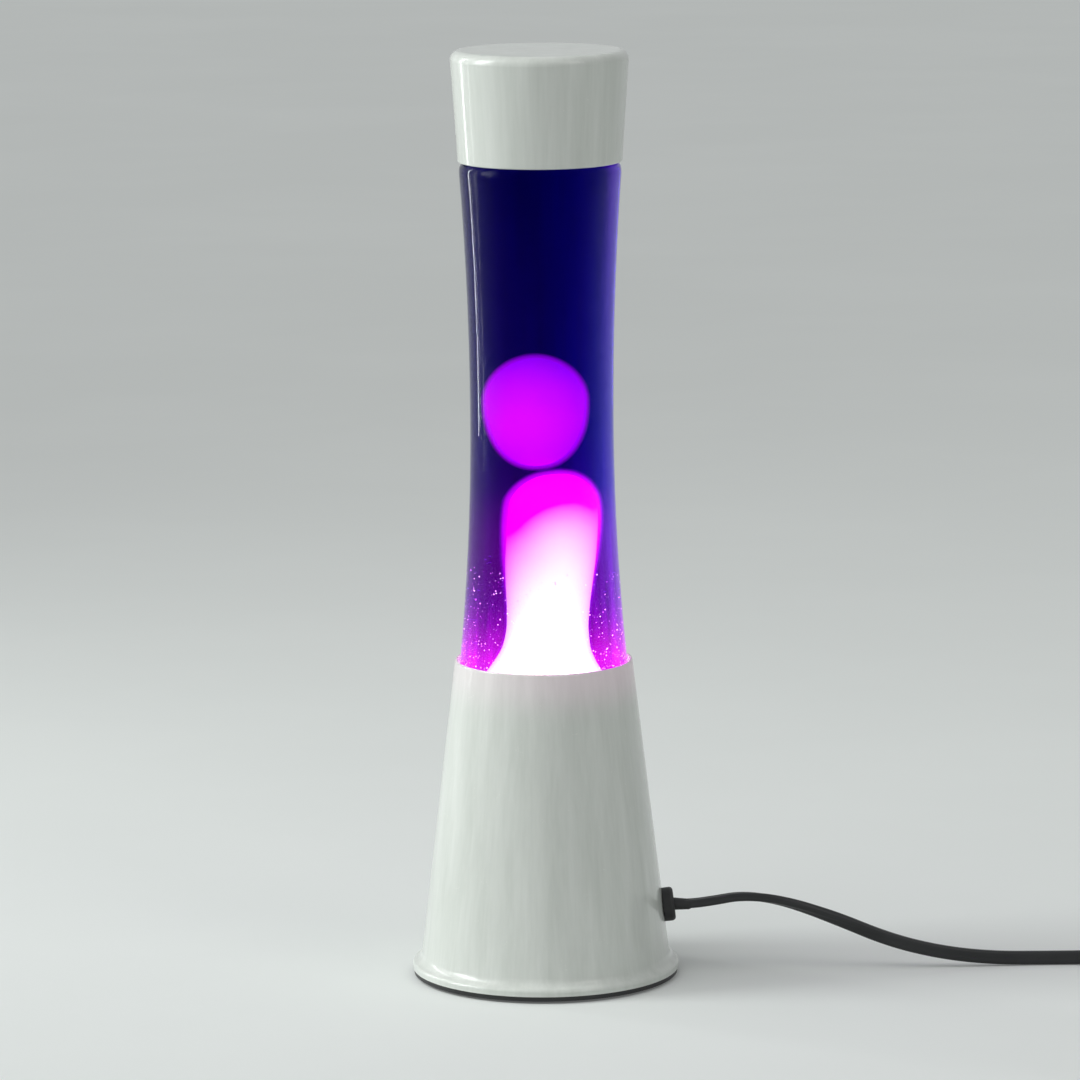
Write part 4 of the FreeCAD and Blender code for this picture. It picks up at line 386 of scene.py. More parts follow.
def lathe(name, outline, body, material, segments=144):
    """Turns an outline of (radius, height) places in millimetres into a closed mesh."""
    build = bmesh.new()
    rings = []
    for (radius, height), before in zip(outline, [None] + outline):
        if before and math.dist((radius, height), before) < 0.001:
            continue
        turns = circle(segments) if radius > 1e-6 else [0.0]
        rings.append([build.verts.new((
            radius * MM * math.cos(turn), radius * MM * math.sin(turn), height * MM)) for turn in turns])
    for low, high in zip(rings, rings[1:]):
        for i in range(segments):
            j = (i + 1) % segments
            corners = [low[i % len(low)], low[j % len(low)], high[j % len(high)], high[i % len(high)]]
            face = list(dict.fromkeys(corners))
            if len(face) > 2:
                build.faces.new(face)
    return built(name, build, body, [material])


def corner(start, turn, end, steps=8):
    """Places along a rounded corner that leaves one line and joins the next."""
    a, b, c = Vector(start), Vector(turn), Vector(end)
    places = [a.lerp(b, t).lerp(b.lerp(c, t), t) for t in (i / steps for i in range(steps + 1))]
    return [(p.x, p.y) for p in places]


# %% [markdown]
# ## The bottle
#
# The bottle is moulded glass with a waist, a square shoulder and a narrow neck. Its wall has to be real,
# with an inside and an outside, because the liquid magnifies what it holds by a third and the glass
# gives the bright edges. The outline goes up the outside, over the lip and down the inside.

# %% The bottle's outline
BOTTLE_BOTTOM, FOOT_TOP, WAIST, SHOULDER = 104.3, 133.5, 240.0, 342.0
FOOT_RADIUS, WAIST_RADIUS, SHOULDER_RADIUS, WALL = 35.5, 30.1, 33.9, 2.2
NECK_TOP, LIQUID_LEVEL = 376.0, 349.0
GLASS_ROUND = 256


def wall_radius(height):
    """Outside radius of the waisted wall: an arc below the waist and another above it."""
    if height < WAIST:
        span, swell = WAIST - FOOT_TOP, FOOT_RADIUS - WAIST_RADIUS
    else:
        span, swell = SHOULDER - WAIST, SHOULDER_RADIUS - WAIST_RADIUS
    bend = (span ** 2 + swell ** 2) / (2 * swell)
    return WAIST_RADIUS + bend - math.sqrt(bend ** 2 - (height - WAIST) ** 2)


def waisted(inward, count=48):
    """The whole waisted wall, moved inwards."""
    heights = [FOOT_TOP + (SHOULDER - FOOT_TOP) * i / count for i in range(count + 1)]
    return [(wall_radius(h) - inward, h) for h in heights]


def inside_outline(gap):
    """The inner wall from the floor's middle to the shoulder, moved outwards by a small gap."""
    foot, floor = FOOT_RADIUS - WALL + gap, BOTTLE_BOTTOM + 4.0 - gap
    return (
        [(0.0, floor), (foot - 8.0, floor)]
        + corner((foot - 2.9, floor), (foot, floor), (foot, floor + 2.9))
        + [(foot, 120.0)] + waisted(WALL - gap)
    )


outside = (
    [(0.0, BOTTLE_BOTTOM + 1.2), (24.0, BOTTLE_BOTTOM + 1.0), (28.0, BOTTLE_BOTTOM)]
    + corner((31.5, BOTTLE_BOTTOM), (FOOT_RADIUS, BOTTLE_BOTTOM), (FOOT_RADIUS, BOTTLE_BOTTOM + 4.0))
    + [(FOOT_RADIUS, 120.0)] + waisted(0.0)
    + corner((SHOULDER_RADIUS, SHOULDER), (34.1, 347.0), (28.9, 347.2))
    + corner((17.5, 352.6), (12.4, 354.9), (12.2, 358.5))
    + [(12.2, 369.0)] + corner((12.2, 369.6), (13.3, 369.9), (13.3, 371.2), 4)
    + corner((13.3, 374.8), (13.3, NECK_TOP), (12.1, NECK_TOP), 4)
)
mouth = corner((10.2, NECK_TOP), (9.2, NECK_TOP), (9.2, NECK_TOP - 1.0), 4)
under_dome = [(9.2, 358.0)] + corner((9.4, 356.0), (10.2, 352.9), (14.4, 351.3)) + corner(
    (28.0, 345.1), (31.7, 344.7), (SHOULDER_RADIUS - WALL, SHOULDER))
glass_outline = outside + mouth + under_dome + inside_outline(0.0)[-2::-1]
print(f"{len(glass_outline)} places on the bottle's outline")

# %% [markdown]
# Moulded glass is never quite true: a slow ripple bends each reflection a little. The specular tint takes
# away the reflection straight on and leaves the one at the edges, because in the photograph the room
# behind the camera is dark and the liquid looks deep and clear.


# %% The bottle
def clear(shade, ior, **more):
    """The sockets of something that light goes through."""
    return {"Base Color": shade, "Transmission Weight": 1.0, "IOR": ior, "Roughness": 0.0, **more}


NO_MIRROR = {"Specular Tint": BLACK}
bottle_glass, tree, shader = new_finish(
    "moulded bottle glass", clear(colour(0.97, 0.985, 0.98), 1.5, **NO_MIRROR))
bumped(tree, shader, effect(tree, RELIEF, {"Size mm": 28.0, "Softness": 0.25})["Height"], 0.12)
bottle = lathe("bottle_of_glass", glass_outline, "bottle", bottle_glass, GLASS_ROUND)
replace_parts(bottle, "bottle_glass")
print(f"bottle {2 * SHOULDER_RADIUS:.0f} mm wide at its shoulder")

# %% [markdown]
# ## The liquid
#
# The liquid is dyed a deep violet blue. Dye absorbs by depth, so an absorbing volume is the true way: a short
# way through it is pale and the whole width is nearly black. The mesh reaches a twentieth of a millimetre
# into the glass, so that light bends as it does from glass to liquid, with no film of air between. The lit
# wax below makes the dye itself glow, and the surface carries that light as a painted glow by nodes: magenta
# at the foot, violet above it, a dark blue higher up, and painted brighter towards the cord's side, as if lit
# from there.


# %% The liquid's dye
def filled(tree, volume):
    """Fills a closed form with a volume."""
    output = next(n for n in tree.nodes if n.type == "OUTPUT_MATERIAL")
    fill_in(tree, output, {"Volume": volume.outputs[0]})


DYE_DENSITY, DYE_COLOUR = 130.0, (0.154, 0.0, 0.615)
ONE_GLOW = {"Emission Strength": 1.0}
liquid_finish, tree, shader = new_finish("dyed liquid", clear(WHITE, 1.333, **NO_MIRROR, **ONE_GLOW))
filled(tree, add_node(tree, "VolumeAbsorption", {"Color": colour(*DYE_COLOUR), "Density": DYE_DENSITY}))

# %% The painted glow up the bottle, on its two sides
GLOW_LOW, GLOW_HIGH = 120.0, 350.0
where = parts(tree, place_on(tree))
climb = remap(tree, where["Z"], GLOW_LOW * MM, GLOW_HIGH * MM)


def up_the_bottle(*stops):
    """The colour that (height, colour) stops, in millimetres, give up the bottle."""
    reach = GLOW_HIGH - GLOW_LOW
    return ramp(tree, climb, [((height - GLOW_LOW) / reach, shade) for height, shade in stops])


# Painted glow by height, on the darker side and on the cord's side, which is painted brighter as if lit from
# there.
painted_dark_side = up_the_bottle(
    (120.0, (0.95, 0.02, 0.95)), (140.0, (0.86, 0.012, 0.88)), (146.0, (0.52, 0.008, 0.62)),
    (155.0, (0.25, 0.003, 0.38)), (163.0, (0.14, 0.002, 0.26)), (178.0, (0.085, 0.0, 0.15)),
    (195.0, (0.055, 0.0, 0.11)), (212.0, (0.016, 0.0, 0.06)), (235.0, (0.002, 0.0, 0.035)),
    (350.0, (0.0, 0.0, 0.022)),
)
painted_lit_side = up_the_bottle(
    (120.0, (0.95, 0.02, 0.95)), (140.0, (0.92, 0.006, 0.90)), (146.0, (0.62, 0.006, 0.68)),
    (155.0, (0.33, 0.002, 0.60)), (163.0, (0.19, 0.001, 0.48)), (178.0, (0.14, 0.001, 0.46)),
    (195.0, (0.10, 0.0, 0.44)), (212.0, (0.004, 0.0, 0.28)), (240.0, (0.0, 0.0, 0.19)),
    (285.0, (0.0, 0.0, 0.14)), (350.0, (0.0, 0.0, 0.08)),
)

# %% [markdown]
# The painted glow changes round the bottle as well as up it. A place scaled to length one in plan has an X
# that is one on the cord's side. It mixes the two sides, and near one, where the glass wall carries the light
# up, it adds a soft painted highlight line. Faint upright bands, from the same drawn lines as in the enamel,
# break the painted glow up as the moulded glass does.


# %% The painted glow round the bottle
def scaled(tree, shade, strength):
    """A colour made stronger or weaker."""
    return add_node(tree, "VectorMath", {0: shade, "Scale": strength}, operation="SCALE").outputs[0]


in_plan = add_node(tree, "CombineXYZ", {0: where["X"], 1: where["Y"]}).outputs[0]
outwards = add_node(tree, "VectorMath", {0: in_plan}, operation="NORMALIZE").outputs[0]
towards_cord = parts(tree, outwards)["X"]
side_share = ramp(tree, towards_cord, [
    (side, (share,) * 3) for side, share in ((0.0, 0.06), (0.2, 0.25), (0.7, 0.62), (0.93, 1.0))])
bands = effect(tree, LINES, {"Across mm": 3.2, "Stretch": (1.0, 1.0, 0.03)})["Height"]
both_sides = mixed(tree, side_share, painted_dark_side, painted_lit_side)
painted_side_glow = scaled(tree, both_sides, remap(tree, bands, 0.3, 0.7, 0.70, 1.25))
# A painted highlight line up the glass wall on the cord's side.
painted_edge_highlight = scaled(tree, up_the_bottle(
    (120.0, (0.10, 0.0, 0.12)), (170.0, (0.04, 0.001, 0.13)), (240.0, (0.012, 0.001, 0.15)),
    (335.0, (0.04, 0.001, 0.22)),
), remap(tree, towards_cord, 0.78, 1.0, how="SMOOTHERSTEP"))
glow = add_node(tree, "VectorMath", {0: painted_side_glow, 1: painted_edge_highlight}, operation="ADD").outputs[0]
# The liquid's whole emission is painted light.
fill_in(tree, shader, {"Emission Color": glow})

# %% The liquid
INTO_GLASS = 0.05
liquid_outline = inside_outline(INTO_GLASS) + corner(
    (SHOULDER_RADIUS - WALL + INTO_GLASS, SHOULDER), (31.75, 344.8), (28.05, 345.2))
liquid_outline += [(20.6, 348.9), (19.9, LIQUID_LEVEL + 0.25), (18.6, LIQUID_LEVEL - 0.35),
                   (15.5, LIQUID_LEVEL - 0.5), (0.0, LIQUID_LEVEL - 0.5)]
liquid = lathe("dyed_liquid", liquid_outline, "bottle", liquid_finish, GLASS_ROUND)
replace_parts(liquid, "tinted_liquid")
print(f"liquid up to {LIQUID_LEVEL} mm")

# %% [markdown]
# ## The wax
#
# Warm wax rises from the pool as a pillar with a swollen head, and a ball has just let go above it. Both
# are round about a leaning axis, so the lathe gives their body, and soft pushes give the lean, the higher
# right shoulder and the slack bumps of molten wax. A simulated fluid would be slower and would not stop
# at the photographed moment.
#
# Molten wax is clear near its surface, and the bulb below lights it from within, which one opaque skin can't
# show. Here that light is painted: each body of wax is three nested forms, an opaque core painted bright with
# glow, a clear skin round it that takes out green, and a thin outermost skin that is only a painted glow. The
# skins' painted glow is by the metre, through a volume: straight on they add little, and at the rim, where
# the eye looks along them, they make up for the dye in front. A skin has an IOR of 1, because the light is
# already in the liquid and must not bend again.

# %% How bright the wax's painted glow must be behind the dye
SKIN_DENSITY, FACE_GLOW = 150.0, (0.12, 0.0, 0.08)
PILLAR_GLOW, BALL_GLOW, RIM_GLOW = (780.0, 0.0, 150.0), (270.0, 0.0, 105.0), (180.0, 0.0, 100.0)


def radius_at(outline, height):
    """The radius of an outline at a height, in millimetres."""
    for (near, low), (far, high) in zip(outline, outline[1:]):
        if low <= height <= high and high > low:
            return near + (far - near) * (height - low) / (high - low)
    return 0.0


def shade_at(table, height):
    """The colour that a table of (height, colour) rows gives at a height."""
    for (low, a), (high, b) in zip(table, table[1:]):
        if height <= high:
            share = max((height - low) / (high - low), 0.0)
            return tuple(p + (q - p) * share for p, q in zip(a, b))
    return table[-1][1]


def behind_dye(shade, depth, skin):
    """The painted glow that must shine behind so many millimetres of liquid and of skin to look like this
    shade.
    """
    lost = [DYE_DENSITY * (1.0 - passed) * depth * MM for passed in DYE_COLOUR]
    lost[1] += SKIN_DENSITY * skin * MM
    return tuple(max(c * math.exp(loss), 0.01) for c, loss in zip(shade, lost))


# %% The core with painted glow
SHADES, CLOUD, ARCH_STARTS, ARCH_FULL = 27, 4.0, 163.0, 195.0


def core_with_painted_glow(name, outline, low, high, table, skin, arch=0.0, arch_top=0.0):
    """Wax with a painted glow, standing for the bulb's light from below, that follows its height; arch bends
    its fronts down on both sides of their top.
    """
    shares = [i / (SHADES - 1) for i in range(SHADES)]
    shades = []
    for height in (low + (high - low) * share for share in shares):
        depth = wall_radius(max(height, FOOT_TOP)) - WALL - radius_at(outline, height)
        shades.append(behind_dye(shade_at(table, height), depth, skin))
    strength = max(max(shade) for shade in shades)
    material, tree, shader = new_finish(name, {
        "Base Color": colour(0.72, 0.16, 0.72), "Roughness": 0.35, "Emission Strength": strength,
        "Specular IOR Level": 0.0,
    })
    place = place_on(tree)
    where = parts(tree, place)
    bend = remap(tree, where["Z"], ARCH_STARTS * MM, ARCH_FULL * MM, 0.0, arch / MM, "SMOOTHSTEP")
    aside = calc(tree, "POWER", calc(tree, "SUBTRACT", where["X"], arch_top * MM), 2.0)
    arched = calc(tree, "MULTIPLY_ADD", aside, bend, where["Z"])
    cloudy = calc(tree, "MULTIPLY_ADD", noise(tree, place, 60.0, 2.0), CLOUD * MM, arched)
    climb = remap(tree, cloudy, (low + CLOUD / 2) * MM, (high + CLOUD / 2) * MM)
    stops = [(share, tuple(c / strength for c in shade)) for share, shade in zip(shares, shades)]
    fill_in(tree, shader, {"Emission Color": ramp(tree, climb, stops)})
    return material


# %% The clear skins
def clear_skin(name, glow, density):
    """A skin that bends nothing, carries a painted glow by the metre, and takes green out of what shines
    through it.
    """
    material, tree, shader = new_finish(name, clear(WHITE, 1.0, **ONE_GLOW))
    cloud = noise(tree, place_on(tree), 90.0, 2.0)
    stops = [(0.35, tuple(0.6 * c for c in FACE_GLOW)), (0.65, FACE_GLOW)]
    fill_in(tree, shader, {"Emission Color": ramp(tree, cloud, stops)})
    lit = add_node(tree, "Emission", {
        "Color": colour(*(c / max(glow) for c in glow)), "Strength": max(glow)})
    haze = add_node(tree, "VolumeAbsorption", {"Color": colour(1.0, 0.0, 1.0), "Density": density})
    filled(tree, add_node(tree, "AddShader", {0: lit.outputs[0], 1: haze.outputs[0]}))
    return material


# The skins' glows are painted light; the third skin takes out nothing and is only a painted glow round the
# wax.
pillar_skin = clear_skin("clear wax of the pillar", PILLAR_GLOW, SKIN_DENSITY)
ball_skin = clear_skin("clear wax of the ball", BALL_GLOW, SKIN_DENSITY)
painted_glow_skin = clear_skin("painted glow round the wax", RIM_GLOW, 0.0)
print("wax skins ready")


# %% The pillar's outline
def eased(t):
    """Zero, then a soft rise to one."""
    t = min(max(t, 0.0), 1.0)
    return t * t * (3.0 - 2.0 * t)


def through(places, per_span=6):
    """A smooth run that goes through all (radius, height) places."""
    padded = [places[0]] + places + [places[-1]]
    run = []
    for a, b, c, d in zip(padded, padded[1:], padded[2:], padded[3:]):
        for t in (step / per_span for step in range(per_span)):
            run.append(tuple(
                0.5 * (2 * b[k] + (c[k] - a[k]) * t + (2 * a[k] - 5 * b[k] + 4 * c[k] - d[k]) * t ** 2
                       + (3 * b[k] - a[k] - 3 * c[k] + d[k]) * t ** 3) for k in (0, 1)))
    return run + [places[-1]]


POOL_RADIUS, POOL_FLOOR, POOL_TOP, SKIN_FOOT = 33.2, 108.35, 122.0, 125.0
free_run = through([
    (30.4, 122.2), (26.5, 123.2), (22.0, 125.9), (18.4, 130.6), (15.7, 136.5), (14.1, 141.5), (13.2, 148.0),
    (13.1, 154.5), (13.5, 161.0), (14.5, 169.6), (15.5, 178.1), (16.0, 186.7), (16.05, 195.0),
    (15.3, 203.7), (13.9, 208.2), (11.5, 212.2), (8.2, 215.2), (4.4, 216.9), (0.0, 217.4)])
pool = (
    [(0.0, POOL_FLOOR), (25.0, POOL_FLOOR)]
    + corner((30.3, POOL_FLOOR), (POOL_RADIUS, POOL_FLOOR), (POOL_RADIUS, POOL_FLOOR + 2.9))
    + [(POOL_RADIUS, 116.0)] + corner((POOL_RADIUS, 119.0), (POOL_RADIUS, POOL_TOP), (31.5, POOL_TOP), 5)
)
rising = [(r, z) for r, z in free_run if z > SKIN_FOOT]


def grown(grow, at_foot, start=SKIN_FOOT, rise=10.0):
    """The rising wax pushed outwards, by one measure up to a start and by another past its rise."""
    moved = []
    for index, (radius, height) in enumerate(rising):
        before, after = rising[max(index - 1, 0)], rising[min(index + 1, len(rising) - 1)]
        slope = Vector((after[1] - before[1], before[0] - after[0])).normalized()
        push = at_foot + (grow - at_foot) * eased((height - start) / rise)
        moved.append((max(radius + slope.x * push, 0.0), height + slope.y * push))
    return moved[:-1] + [(0.0, moved[-1][1])]


# %% The pillar's lean and bumps
LEAN, LEAN_FROM, LEAN_ASIDE = math.tan(math.radians(2.05)), 118.0, 0.1
HEAD_FROM, HEAD_REACH, HEAD_BACK, HEAD_TILT = 196.0, 21.0, 0.6, 0.10
CORE_SHIFT_FROM, CORE_SHIFT_REACH, BUMP = 165.0, 35.0, 0.018


def lean_and_bump(piece, shift=0.0):
    """Gives the round pillar its lean, its higher right shoulder and its slack bumps."""
    for vertex in piece.data.vertices:
        x, y, z = vertex.co / MM
        free, head = eased((z - POOL_TOP) / 25.0), eased((z - HEAD_FROM) / HEAD_REACH)
        bumps = math.sin(z / 11.0 + 0.7) * math.cos(math.atan2(y, x) * 2.0 + z / 29.0)
        swell = 1.0 + free * (1.0 - head) * BUMP * bumps
        aside = free * (LEAN_ASIDE + LEAN * (z - LEAN_FROM)) - HEAD_BACK * head
        aside += shift * eased((z - CORE_SHIFT_FROM) / CORE_SHIFT_REACH)
        vertex.co = ((x * swell + aside) * MM, y * swell * MM, (z + head * HEAD_TILT * x) * MM)


# %% The pillar of wax
CORE_DEPTH, CORE_SHIFT, BODY_OUT, RIM_OUT = 1.8, 0.4, -0.1, 0.6
CORE_AT_FOOT, BODY_AT_FOOT, RIM_AT_FOOT, DEEPENS_FROM, DEEPENS_OVER = -0.3, -1.0, -1.6, 155.0, 45.0
# The table gives the core's painted glow by height: whitest just above the pool, where the bulb's light comes
# up into the wax, and magenta towards the head.
pillar_wax = core_with_painted_glow("core of the pillar with painted glow", pool + free_run, 113.0, 217.0, [
    (113.0, (1.5, 1.15, 1.4)), (119.0, (1.5, 1.15, 1.4)), (124.0, (3.0, 3.0, 1.6)), (134.0, (2.6, 2.2, 1.4)),
    (146.0, (2.4, 1.6, 1.3)), (155.0, (2.2, 1.2, 1.2)), (163.0, (2.1, 1.02, 1.1)), (172.0, (2.0, 0.95, 1.0)),
    (180.0, (1.9, 0.88, 0.98)), (189.0, (1.8, 0.72, 0.96)), (195.0, (1.7, 0.54, 0.95)),
    (200.0, (1.6, 0.30, 0.95)), (204.5, (1.5, 0.001, 0.95)), (217.0, (1.2, 0.001, 0.94)),
], CORE_DEPTH, 0.045, 7.6)
low_run, axis = [(r, z) for r, z in free_run if z <= SKIN_FOOT], [(0.0, SKIN_FOOT)]
core_run = pool + low_run + grown(-CORE_DEPTH, CORE_AT_FOOT, DEEPENS_FROM, DEEPENS_OVER)
body_run, rim_run = axis + grown(BODY_OUT, BODY_AT_FOOT), axis + grown(RIM_OUT, RIM_AT_FOOT)
pillar_core = lathe("wax_pillar_core", core_run, "bottle", pillar_wax)
pillar = lathe("wax_pillar", body_run, "bottle", pillar_skin)
pillar_rim = lathe("wax_pillar_painted_halo", rim_run, "bottle", painted_glow_skin)
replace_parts(pillar, "wax_column")
lean_and_bump(pillar_core, CORE_SHIFT)
for piece in (pillar, pillar_rim):
    lean_and_bump(piece)
print(f"pillar {max(v.co.z for v in pillar.data.vertices) / MM:.1f} mm high")

# %% The ball of wax
BALL_MIDDLE, BALL_RADIUS, BALL_RISE, BALL_DROP, BALL_STEPS = 246.5, 16.4, 20.1, 28.6, 96
BALL_ASIDE, BALL_BUMP, BALL_CORE_DEPTH = 2.0, 0.012, 1.5


def ball_outline(grow):
    """Half the ball's outline, blunter below, from its lowest place to its highest."""
    places = []
    for step in range(BALL_STEPS + 1):
        turn = math.pi * (step / BALL_STEPS - 0.5)
        reach, power = (BALL_RISE, 1.95) if turn > 0 else (BALL_DROP, 2.3)
        up = abs(math.sin(turn)) ** (2.0 / power) * math.copysign(1.0, turn)
        out = max(math.cos(turn), 0.0) ** (2.0 / power) if 0 < step < BALL_STEPS else 0.0
        places.append(((BALL_RADIUS + grow) * out, BALL_MIDDLE + (reach + grow) * up))
    return places


# The ball's core carries a painted glow too, violet, fading towards its top.
ball_wax = core_with_painted_glow("core of the ball with painted glow", ball_outline(0.0), 218.0, 266.5, [
    (218.0, (0.40, 0.0, 0.80)), (224.0, (0.46, 0.0, 0.84)), (236.0, (0.44, 0.0, 0.86)),
    (248.0, (0.27, 0.0, 0.82)), (257.0, (0.21, 0.0, 0.76)), (263.0, (0.17, 0.0, 0.66)),
    (266.5, (0.12, 0.0, 0.54)),
], 0.0)
ball_core = lathe("wax_ball_core", ball_outline(-BALL_CORE_DEPTH), "free_wax", ball_wax)
ball = lathe("wax_ball_afloat", ball_outline(BODY_OUT), "free_wax", ball_skin)
ball_rim = lathe("wax_ball_painted_halo", ball_outline(RIM_OUT), "free_wax", painted_glow_skin)
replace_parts(ball, "wax_ball")
for piece in (ball_core, ball, ball_rim):
    for vertex in piece.data.vertices:
        x, y, z = vertex.co / MM
        swell = 1.0 + BALL_BUMP * math.sin(z / 9.0) * math.cos(math.atan2(y, x) * 2.0 + 0.6)
        vertex.co = ((x * swell - BALL_ASIDE) * MM, y * swell * MM, z * MM)
print(f"ball {2 * BALL_RADIUS:.1f} mm wide, {BALL_RISE + BALL_DROP:.1f} mm high")

# %% [markdown]
# Small drops of wax cling to the glass and hang in the liquid near the pool, each with a painted glow. They
# are many tiny balls in one mesh, at places from a seeded generator, so that every run makes the same ones.

# %% Drops of wax in the liquid
DROP_COUNT, DROPS_FROM, DROPS_REACH = 2200, 131.0, 46.0
SMALLEST, LARGER_BY, OFF_THE_GLASS, INWARDS = 0.09, 0.24, 0.25, 3.0
build = bmesh.new()
bmesh.ops.create_icosphere(build, subdivisions=1, radius=1.0)
round_places = [vertex.co.copy() for vertex in build.verts]
round_faces = [[vertex.index for vertex in face.verts] for face in build.faces]
build.free()
chance = random.Random(7)
places, faces = [], []
for _ in range(DROP_COUNT):
    height = DROPS_FROM + DROPS_REACH * chance.random() ** 2.6
    around, size = chance.uniform(0.0, 2 * math.pi), SMALLEST + LARGER_BY * chance.random() ** 3
    radius = wall_radius(max(height, FOOT_TOP)) - WALL - size - OFF_THE_GLASS - INWARDS * chance.random() ** 3
    spot = Vector((radius * math.cos(around), radius * math.sin(around), height))
    faces += [[len(places) + index for index in face] for face in round_faces]
    places += [(spot + place * size) * MM for place in round_places]
drops_mesh = bpy.data.meshes.new("wax_drops")
drops_mesh.from_pydata(places, [], faces)
drop_wax, tree, shader = new_finish("drops with painted glow", {
    "Base Color": colour(0.8, 0.3, 0.8), "Emission Strength": 4.0})
# The drops' emission is a painted glow.
fill_in(tree, shader, {"Emission Color": ramp(
    tree, noise(tree, place_on(tree), 250.0, 1.0), [(0.35, (0.55, 0.05, 0.65)), (0.65, (1.0, 0.45, 1.0))])})
link("wax_drops", drops_mesh, "bottle", [drop_wax])
print(f"{DROP_COUNT} drops of wax")

# %% [markdown]
# ## The cord
#
# The cord is a flat twin cord. Its line is a smooth spline whose control points are the route's own
# points, and the flat section is carried along it. A round bevel on the curve would be simpler, but it
# would lose the flatness that shows in the photograph: the cord leaves the bush lying flat and turns on
# edge before it reaches the table.


# %% The cord's smooth line
def smooth_line(name, points):
    """Places along a NURBS spline with these control points, which are in millimetres."""
    data = bpy.data.curves.new(name, "CURVE")
    data.dimensions = "3D"
    spline = data.splines.new("NURBS")
    spline.points.add(len(points) - 1)
    for target, point in zip(spline.points, points):
        target.co = (*[c * MM for c in point], 1.0)
    spline.order_u, spline.use_endpoint_u, spline.resolution_u = 3, True, 10
    holder = bpy.data.objects.new(name, data)
    line = [v.co.copy() for v in bpy.data.meshes.new_from_object(holder).vertices]
    bpy.data.objects.remove(holder)
    print(f"{name} {sum((b - a).length for a, b in zip(line, line[1:])):.3f} m")
    return line


LEAD_ROUTE = (
    (53.8, 0.0, 29.25), (61.0, 0.0, 29.1), (71.0, 0.0, 30.4), (84.0, 0.0, 32.7), (101.0, 0.0, 30.4),
    (123.0, 0.0, 22.7), (146.0, 1.0, 12.6), (168.0, 2.5, 6.6), (190.0, 4.5, 3.5), (213.0, 6.0, 3.0),
    (236.0, 5.6, 3.2), (262.0, -1.5, 7.0), (279.38, -7.81, 7.0),
)
TAIL_ROUTE = (
    (334.82, -27.99, 7.0), (346.6, -32.3, 7.0), (359.5, -36.3, 4.8), (372.5, -39.2, 3.0), (385.0, -41.0, 3.0),
)
lead_line = smooth_line("lead_line", LEAD_ROUTE)

# %% [markdown]
# The rest of the cord is put away past the photograph's right edge, in a coil of two layers: inwards on
# the table, up in the half turn at the middle, and outwards on top. Its turns are more points of the
# same spline.

# %% The put-away coil
COIL_INNER, COIL_PITCH, COIL_TURNS, POINTS_PER_TURN = 25.5, 6.3, 2.5, 16


def coil_points():
    """Control points of the coil, from the end of the tail to its last turn on top."""
    layer, climb = 2 * math.pi * COIL_TURNS, math.pi
    start, before = Vector(TAIL_ROUTE[-1]), Vector(TAIL_ROUTE[-2])
    heading = math.atan2(start.y - before.y, start.x - before.x)
    outer = COIL_INNER + COIL_PITCH * COIL_TURNS
    centre = start + Vector((-math.sin(heading), math.cos(heading), 0.0)) * outer
    count = round((2 * layer + climb) / (2 * math.pi) * POINTS_PER_TURN)
    points = []
    for step in range(1, count + 1):
        angle = (2 * layer + climb) * step / count
        inward = min(angle, layer) + max(min(angle - layer, climb / 2), 0.0)
        outward = max(angle - layer - climb / 2, 0.0)
        radius = outer - COIL_PITCH * (inward - outward) / (2 * math.pi)
        rise = COIL_PITCH * eased((angle - layer) / climb)
        around = heading - math.pi / 2 + angle
        points.append(centre + Vector((radius * math.cos(around), radius * math.sin(around), rise)))
    return points


PLUG_MOUTH, PLUG_HEADING, STRAIGHT = Vector((356.0, 42.4, 6.85)), math.radians(186.0), 11.0
coil = coil_points()
leaving = (coil[-1] - coil[-2]).normalized()
into_plug = Vector((math.cos(PLUG_HEADING), math.sin(PLUG_HEADING), 0.0))
to_plug = [coil[-1] + leaving * STRAIGHT, PLUG_MOUTH - into_plug * STRAIGHT, PLUG_MOUTH]
rest_line = smooth_line("rest_line", [*TAIL_ROUTE, *coil, *to_plug])

# %% [markdown]
# The section is two round cores side by side under one sheath: an oval with a shallow groove on each
# flat side. It is swept by hand, ring by ring, so that it can turn on edge along the way.


# %% Sweeping a section along a line
def swept(line, section, turn_at=lambda place: 0.0):
    """Rings of (across, up) places along a line; turn_at gives their turn from lying flat, in radians."""
    rings = []
    for index, place in enumerate(line):
        ahead = (line[min(index + 1, len(line) - 1)] - line[max(index - 1, 0)]).normalized()
        level = ahead.cross(Vector((0.0, 0.0, 1.0))).normalized()
        upward = level.cross(ahead).normalized()
        spin = turn_at(place)
        side = level * math.cos(spin) + upward * math.sin(spin)
        over = upward * math.cos(spin) - level * math.sin(spin)
        rings.append([place + (side * across + over * up) * MM for across, up in section])
    return rings


def skinned(name, runs, slots):
    """A closed piece of the cord, from runs of rings; each comes with the number of its finish."""
    build = bmesh.new()
    for run, number in runs:
        rings = [[build.verts.new(place) for place in ring] for ring in run]
        faces = [build.faces.new(rings[0]), build.faces.new(rings[-1])]
        for low, high in zip(rings, rings[1:]):
            faces += [build.faces.new((low[i - 1], low[i], high[i], high[i - 1])) for i in range(len(low))]
        for face in faces:
            face.material_index = number
    return built(name, build, "base", [finish[each] for each in slots])


# %% The flat sheath
CORD_WIDTH, CORD_THICKNESS, SQUARENESS, GROOVE_DEPTH, GROOVE_WIDTH = 5.8, 3.8, 3.2, 0.13, 0.22
ON_EDGE, TURN_FROM, TURN_REACH = math.radians(90.0), 70.0, 90.0


